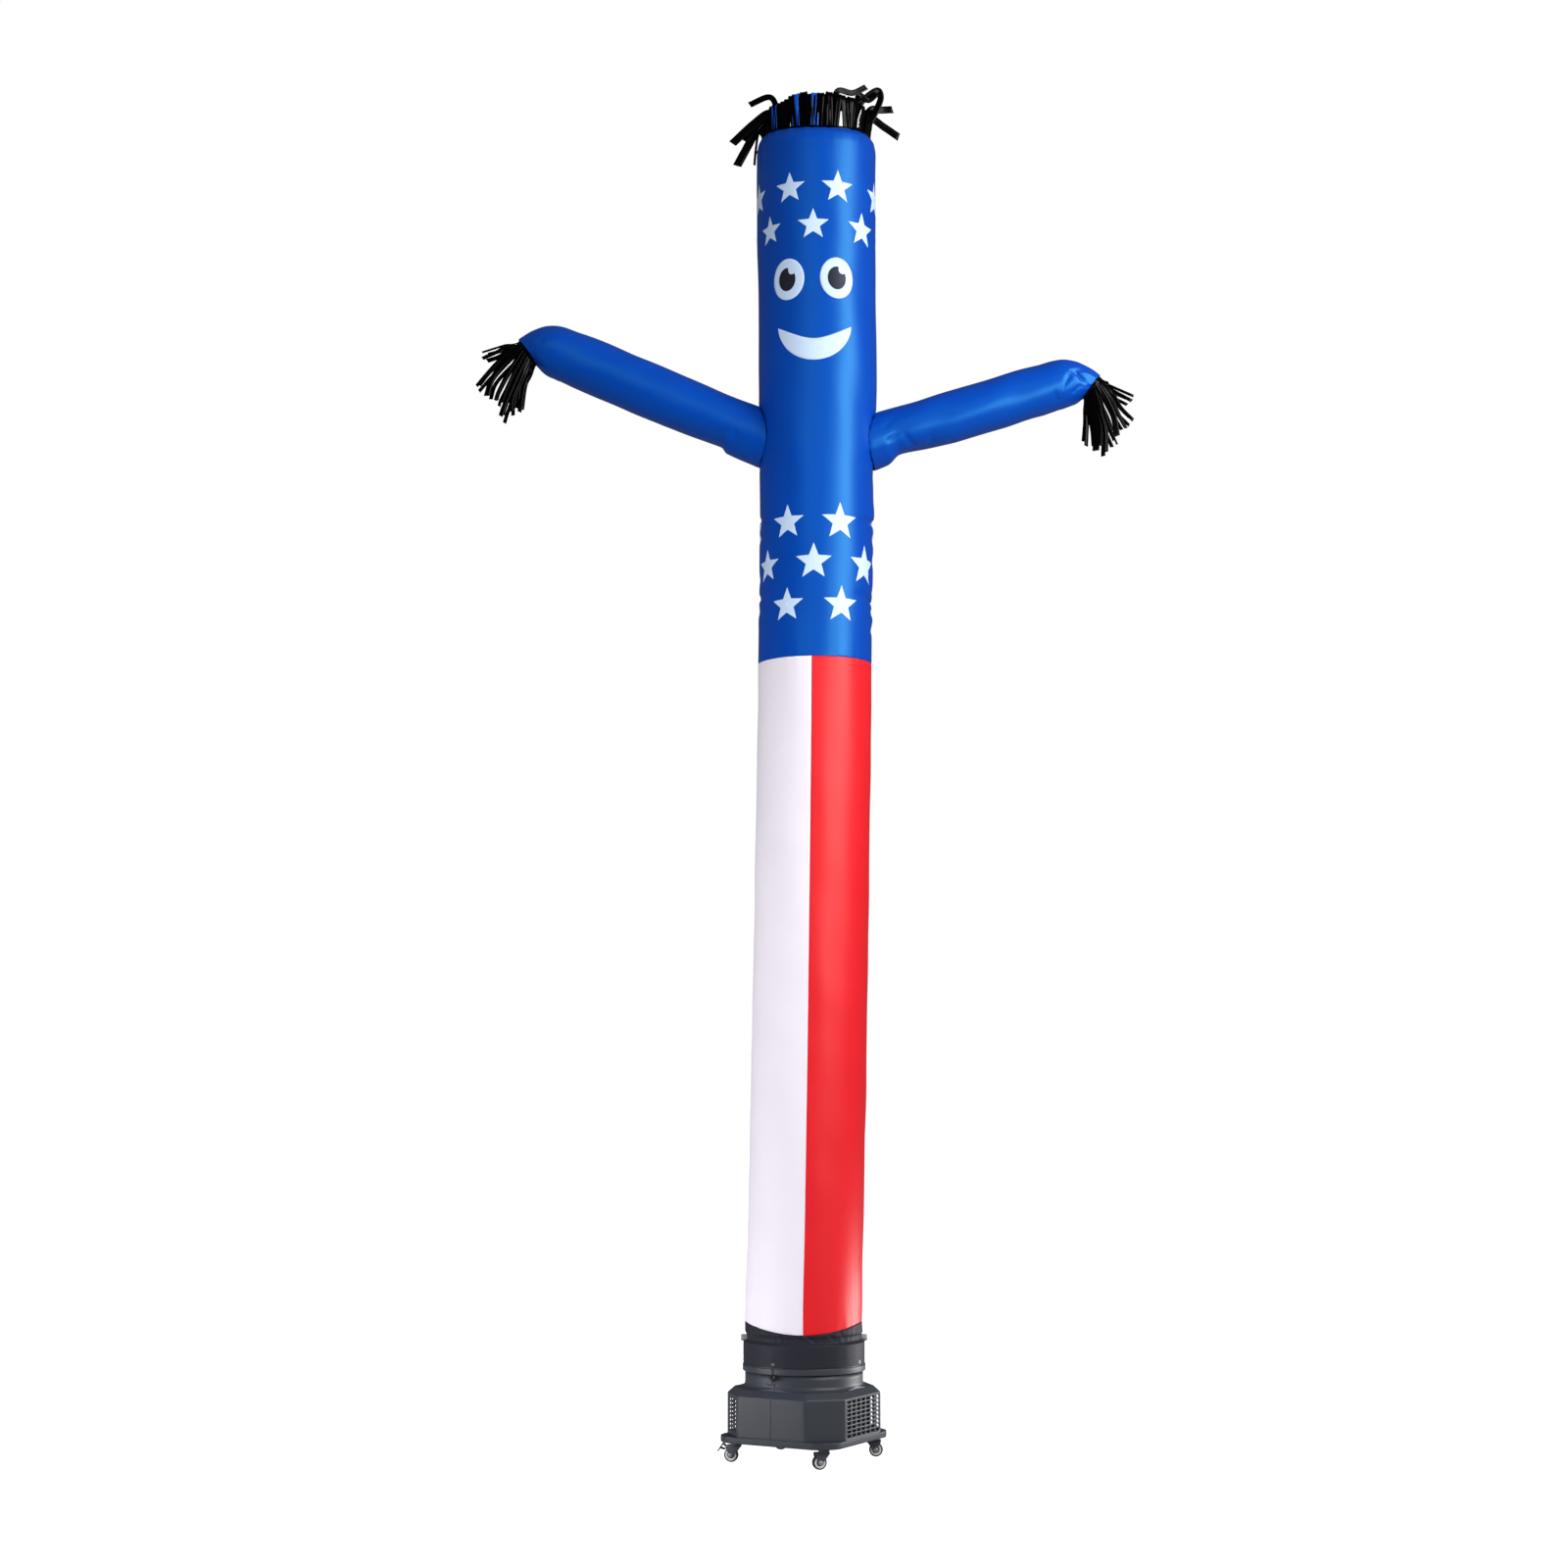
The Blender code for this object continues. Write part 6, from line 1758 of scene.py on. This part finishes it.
def to_place(piece, azimuth, heading):
    """Turns a caster's piece and carries it under the plate. Its place goes into its mesh."""
    x, y = turn(azimuth)
    place = Matrix.Translation((CASTER_R * x, CASTER_R * y, 0.0))
    piece.data.transform(place @ Matrix.Rotation(np.radians(heading), 4, "Z"))
    piece.data.update()
    return piece


def slab(name, outline, low, high, finish, soft=0.5 * MM):
    """A plate cut to an outline in the X Z plane, from y = low to y = high, with softened edges."""
    outline = np.asarray(outline, float)
    mesh = bpy.data.meshes.new(name)
    n = len(outline)
    near = np.insert(outline, 1, low, axis=1)
    far = np.insert(outline, 1, high, axis=1)
    after = (np.arange(n) + 1) % n
    faces = [list(range(n)), list(range(2 * n - 1, n - 1, -1))]
    faces += np.stack([np.arange(n), np.arange(n) + n, after + n, after], axis=1).tolist()
    mesh.from_pydata(np.concatenate([near, far]).tolist(), [], faces)
    mesh.materials.append(finish)
    piece = merged(in_scene(name, mesh), 0.001 * MM)
    edges = piece.modifiers.new("Edges", "BEVEL")
    edges.width, edges.segments, edges.limit_method, edges.angle_limit = soft, 2, "ANGLE", np.radians(40)
    apply_modifier(piece, "Edges")
    piece.data.shade_smooth()
    piece.data.set_sharp_from_angle(angle=np.radians(35))
    return piece


def arc(centre, radius, start, end, steps=14):
    """Points on a circle's arc, from one angle to another in degrees."""
    angle = np.radians(np.linspace(start, end, steps))
    return np.stack([centre[0] + radius * np.cos(angle), centre[1] + radius * np.sin(angle)], axis=1)


CHEEK_OUTLINE = np.concatenate([
    [(FORK_BACK, CROWN_Z[1]), (FORK_FRONT, CROWN_Z[1]), (FORK_FRONT, 0.0535)],
    [(0.0350, 0.0480), (0.0300, 0.0410)],
    arc((TRAIL, WHEEL_R), 10 * MM, 25.0, -160.0),
    [(FORK_BACK, 0.0590)],
])
BAR_OUTLINE = ((FORK_BACK, CROWN_Z[0]), (CROWN_FRONT, CROWN_Z[0]), (CROWN_FRONT, 0.0638), (FORK_BACK, 0.0638))


def wheel_profile(one_side):
    """A profile for both sides of a wheel, from (sideways, radius) rows of one side, closed."""
    rows = np.array(one_side, float) * MM
    return np.concatenate([rows, rows[::-1] * (-1, 1), rows[:1]])


# The bolt's head, its shank and its nut: along and radius in millimetres
AXLE_HEAD = ((0.0, 0.0), (0.0, 6.8), (0.5, 8.0), (1.2, 8.5), (2.5, 8.5), (2.5, 4.0))
AXLE_NUT = ((31.5, 4.0), (31.5, 8.5), (32.8, 8.5), (33.5, 8.0), (34.0, 6.8), (34.0, 0.0))
AXLE_PROFILE = np.array(AXLE_HEAD + AXLE_NUT) * MM


def fork_piece(tag):
    """Two cheeks, the crown that joins them and the swivel's race on top."""
    outer = CHEEK_IN + CHEEK
    race = soften(np.array(RACE_PROFILE) * MM, 0.8 * MM)
    parts = [
        slab(f"{tag}_fork", CHEEK_OUTLINE, -outer, -CHEEK_IN, POWDER_COAT),
        slab("cheek", CHEEK_OUTLINE, CHEEK_IN, outer, POWDER_COAT),
        slab("crown", BAR_OUTLINE, -outer + 0.3 * MM, outer - 0.3 * MM, POWDER_COAT),
        turned("race", race, (0, 0, RACE_Z), (0, 0, 1), POWDER_COAT, 64),
    ]
    return joined(f"{tag}_fork", parts)


for tag, (azimuth, heading) in CASTERS.items():
    fork = to_place(fork_piece(tag), azimuth, heading)
    axle = turned(f"{tag}_axle_bolt", AXLE_PROFILE, (TRAIL, -17 * MM, WHEEL_R), (0, 1, 0), ZINC, 48)
    to_place(axle, azimuth, heading)
    rings = [
        turned(f"{tag}_{part}", wheel_profile(profile), (TRAIL, 0, WHEEL_R), (0, 1, 0), finish, 96)
        for part, profile, finish in (
            ("tyre_ring", TYRE_PROFILE[::-1], RUBBER),
            ("wheel_hub", HUB_PROFILE, NYLON),
            ("dark_ring", DARK_RING_PROFILE, DARK_RING_GREY),
        )
    ]
    tyre = to_place(rings[0], azimuth, heading)
    hub = to_place(joined(f"{tag}_wheel_hub", rings[1:]), azimuth, heading)
    for piece, body_name, stands_for, slot in (
        (fork, f"swivel_{tag}", "fork", "dark_steel"),
        (axle, f"swivel_{tag}", "axle", "bright_steel"),
        (tyre, f"wheel_{tag}", "tyre", "black_rubber"),
        (hub, f"wheel_{tag}", "hub", "white_plastic"),
    ):
        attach(piece, body_name)
        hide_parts(f"caster_{tag}_{stands_for}")
    # The mounting plate's own node is kept and only painted
    plate_node = frame["nodes"][f"caster_{tag}_plate"]
    plate_node.data.materials.clear()
    plate_node.data.materials.append(BLACK_STEEL)


# %% The brake pedal
def bar_outline(start, end, thick):
    """A straight bar with round ends, as seen from the side."""
    way = np.array(end) - np.array(start)
    heading = np.degrees(np.arctan2(way[1], way[0]))
    return np.concatenate([
        arc(end, thick / 2, heading - 90.0, heading + 90.0, 7),
        arc(start, thick / 2, heading + 90.0, heading + 270.0, 7),
    ])


# The pin's place, the arms' route and the tread's, as X and Z with the swivel on the Z axis
PEDAL_PIN = (0.0330, 0.0550)
PEDAL_LOOP = ((0.0500, 0.0685), (0.0335, 0.0552), (0.0435, 0.0475), (0.0605, 0.0535))
PEDAL_TREAD = ((0.0490, 0.0705), (0.0700, 0.0400))
inner = CHEEK_IN - 1 * MM
# Along the pin and radius, in millimetres: it is thicker between the arms
pin = ((0.0, 0.0), (0.0, 2.0), (4.2, 2.0), (4.2, 3.0), (26.2, 3.0), (26.2, 2.0), (30.4, 2.0), (30.4, 0.0))
pin_start = (PEDAL_PIN[0], -15.2 * MM, PEDAL_PIN[1])
parts = [turned("left_pedal", np.array(pin) * MM, pin_start, (0, 1, 0), BLACK_STEEL, 32)]
for sign in (-1, 1):
    edge = inner - 0.2 * MM
    low, high = sorted((sign * edge, sign * (edge - 2.2 * MM)))
    for start, end in zip(PEDAL_LOOP[:-1], PEDAL_LOOP[1:]):
        parts.append(slab("arm", bar_outline(start, end, 4.4 * MM), low, high, BLACK_STEEL, 0.3 * MM))
parts.append(slab("tread", bar_outline(*PEDAL_TREAD, 3 * MM), -inner, inner, BLACK_STEEL, 0.4 * MM))
pedal = to_place(joined("left_pedal", parts), *CASTERS["left"])
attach(pedal, "brake_left")
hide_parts("caster_left_pedal")

# %% [markdown]
# ## The studio
#
# A pale, even room lights the whole figure. A tall, wide light to the right gives the long, soft
# highlight that shows how round the tube is; it hangs high, so that it leaves the blower alone. A
# smaller one nearer the front lights the chest and the right arm. Two wide, weak ones, in front and
# at the left, lift the shaded sides and don't show in reflections. Two low lights from the sides pick
# out the blower's flat faces and leave its cut corner dark. The room looks white to the camera and
# weaker in reflections, so that black film stays black. The floor glows a little, so that it stays
# white and only the contact shadows under the blower show.


# %% The lights
def soft_light(name, place, aim, width, height, power, spread=180.0, shine=True):
    """A rectangular lamp at a place, turned towards an aim, with its height upright.

    Its light leaves within the spread, in degrees. Without shine it isn't seen in reflections.
    """
    lamp = bpy.data.lights.new(name, "AREA")
    lamp.shape = "RECTANGLE"
    lamp.size, lamp.size_y = width, height
    lamp.energy, lamp.spread = power, np.radians(spread)
    stand = in_scene(name, lamp)
    stand.visible_camera, stand.visible_glossy = False, shine
    stand.location = place
    stand.rotation_euler = (Vector(aim) - Vector(place)).to_track_quat("-Z", "Y").to_euler()


def around(degrees, distance, height):
    """A place at an azimuth, at a distance from the Z axis."""
    x, y = turn(degrees)
    return (distance * x, distance * y, height)


soft_light("high_right", around(58.0, 5.5, 5.2), (0.0, 0.0, 4.1), 2.6, 5.0, 400.0)
soft_light("front_right", around(32.0, 5.0, 3.0), (0.4, 0.0, 4.0), 1.4, 1.8, 100.0)
soft_light("front_fill", around(-14.0, 10.0, 6.5), (0.0, 0.0, 3.6), 6.0, 4.5, 42.0, 44.0, shine=False)
soft_light("left_fill", around(-72.0, 4.5, 1.3), (-0.2, 0.0, 1.3), 1.8, 2.2, 40.0, 90.0, shine=False)
soft_light("low_right", around(108.0, 1.6, 0.35), (0.2, 0.0, 0.18), 0.9, 0.4, 4.5, 90.0)
soft_light("low_left", around(-66.0, 1.6, 0.30), (-0.2, 0.0, 0.18), 0.9, 0.4, 2.2, 90.0)

# %% The room
ROOM_SEEN, ROOM_LIGHT, ROOM_REFLECTED = 1.0, 0.46, 0.08
room = bpy.data.worlds.new("room")
room.use_nodes = True
room.node_tree.nodes.clear()
rays = node(room.node_tree, "ShaderNodeLightPath")
white = (1.0, 1.0, 1.0, 1.0)
seen, lit, reflected = (
    node(room.node_tree, "ShaderNodeBackground", {"Color": white, "Strength": strength})
    for strength in (ROOM_SEEN, ROOM_LIGHT, ROOM_REFLECTED)
)
inside_room = node(
    room.node_tree,
    "ShaderNodeMixShader",
    {0: rays.outputs["Is Glossy Ray"], 1: lit.outputs[0], 2: reflected.outputs[0]},
)
whole_room = node(
    room.node_tree,
    "ShaderNodeMixShader",
    {0: rays.outputs["Is Camera Ray"], 1: inside_room.outputs[0], 2: seen.outputs[0]},
)
node(room.node_tree, "ShaderNodeOutputWorld", {"Surface": whole_room.outputs[0]})
bpy.context.scene.world = room

# %% The floor
floor_finish, tree, output = new_finish("white_floor")
rays = node(tree, "ShaderNodeLightPath")
shown = node(tree, "ShaderNodeBsdfDiffuse", {"Color": (0.6, 0.6, 0.6, 1.0)})
glow = node(tree, "ShaderNodeEmission", {"Color": (1.0, 1.0, 1.0, 1.0), "Strength": 0.92})
bright = node(tree, "ShaderNodeAddShader", {0: shown.outputs[0], 1: glow.outputs[0]})
dull = node(tree, "ShaderNodeBsdfDiffuse", {"Color": (0.35, 0.35, 0.35, 1.0)})
either = node(
    tree, "ShaderNodeMixShader", {0: rays.outputs["Is Camera Ray"], 1: dull.outputs[0], 2: bright.outputs[0]}
)
tree.links.new(either.outputs[0], output.inputs["Surface"])
floor_half = 60.0
corners = np.array([(-1, -1, 0), (1, -1, 0), (1, 1, 0), (-1, 1, 0)]) * floor_half
mesh_object("floor", corners, [(0, 1, 2, 3)], floor_finish)
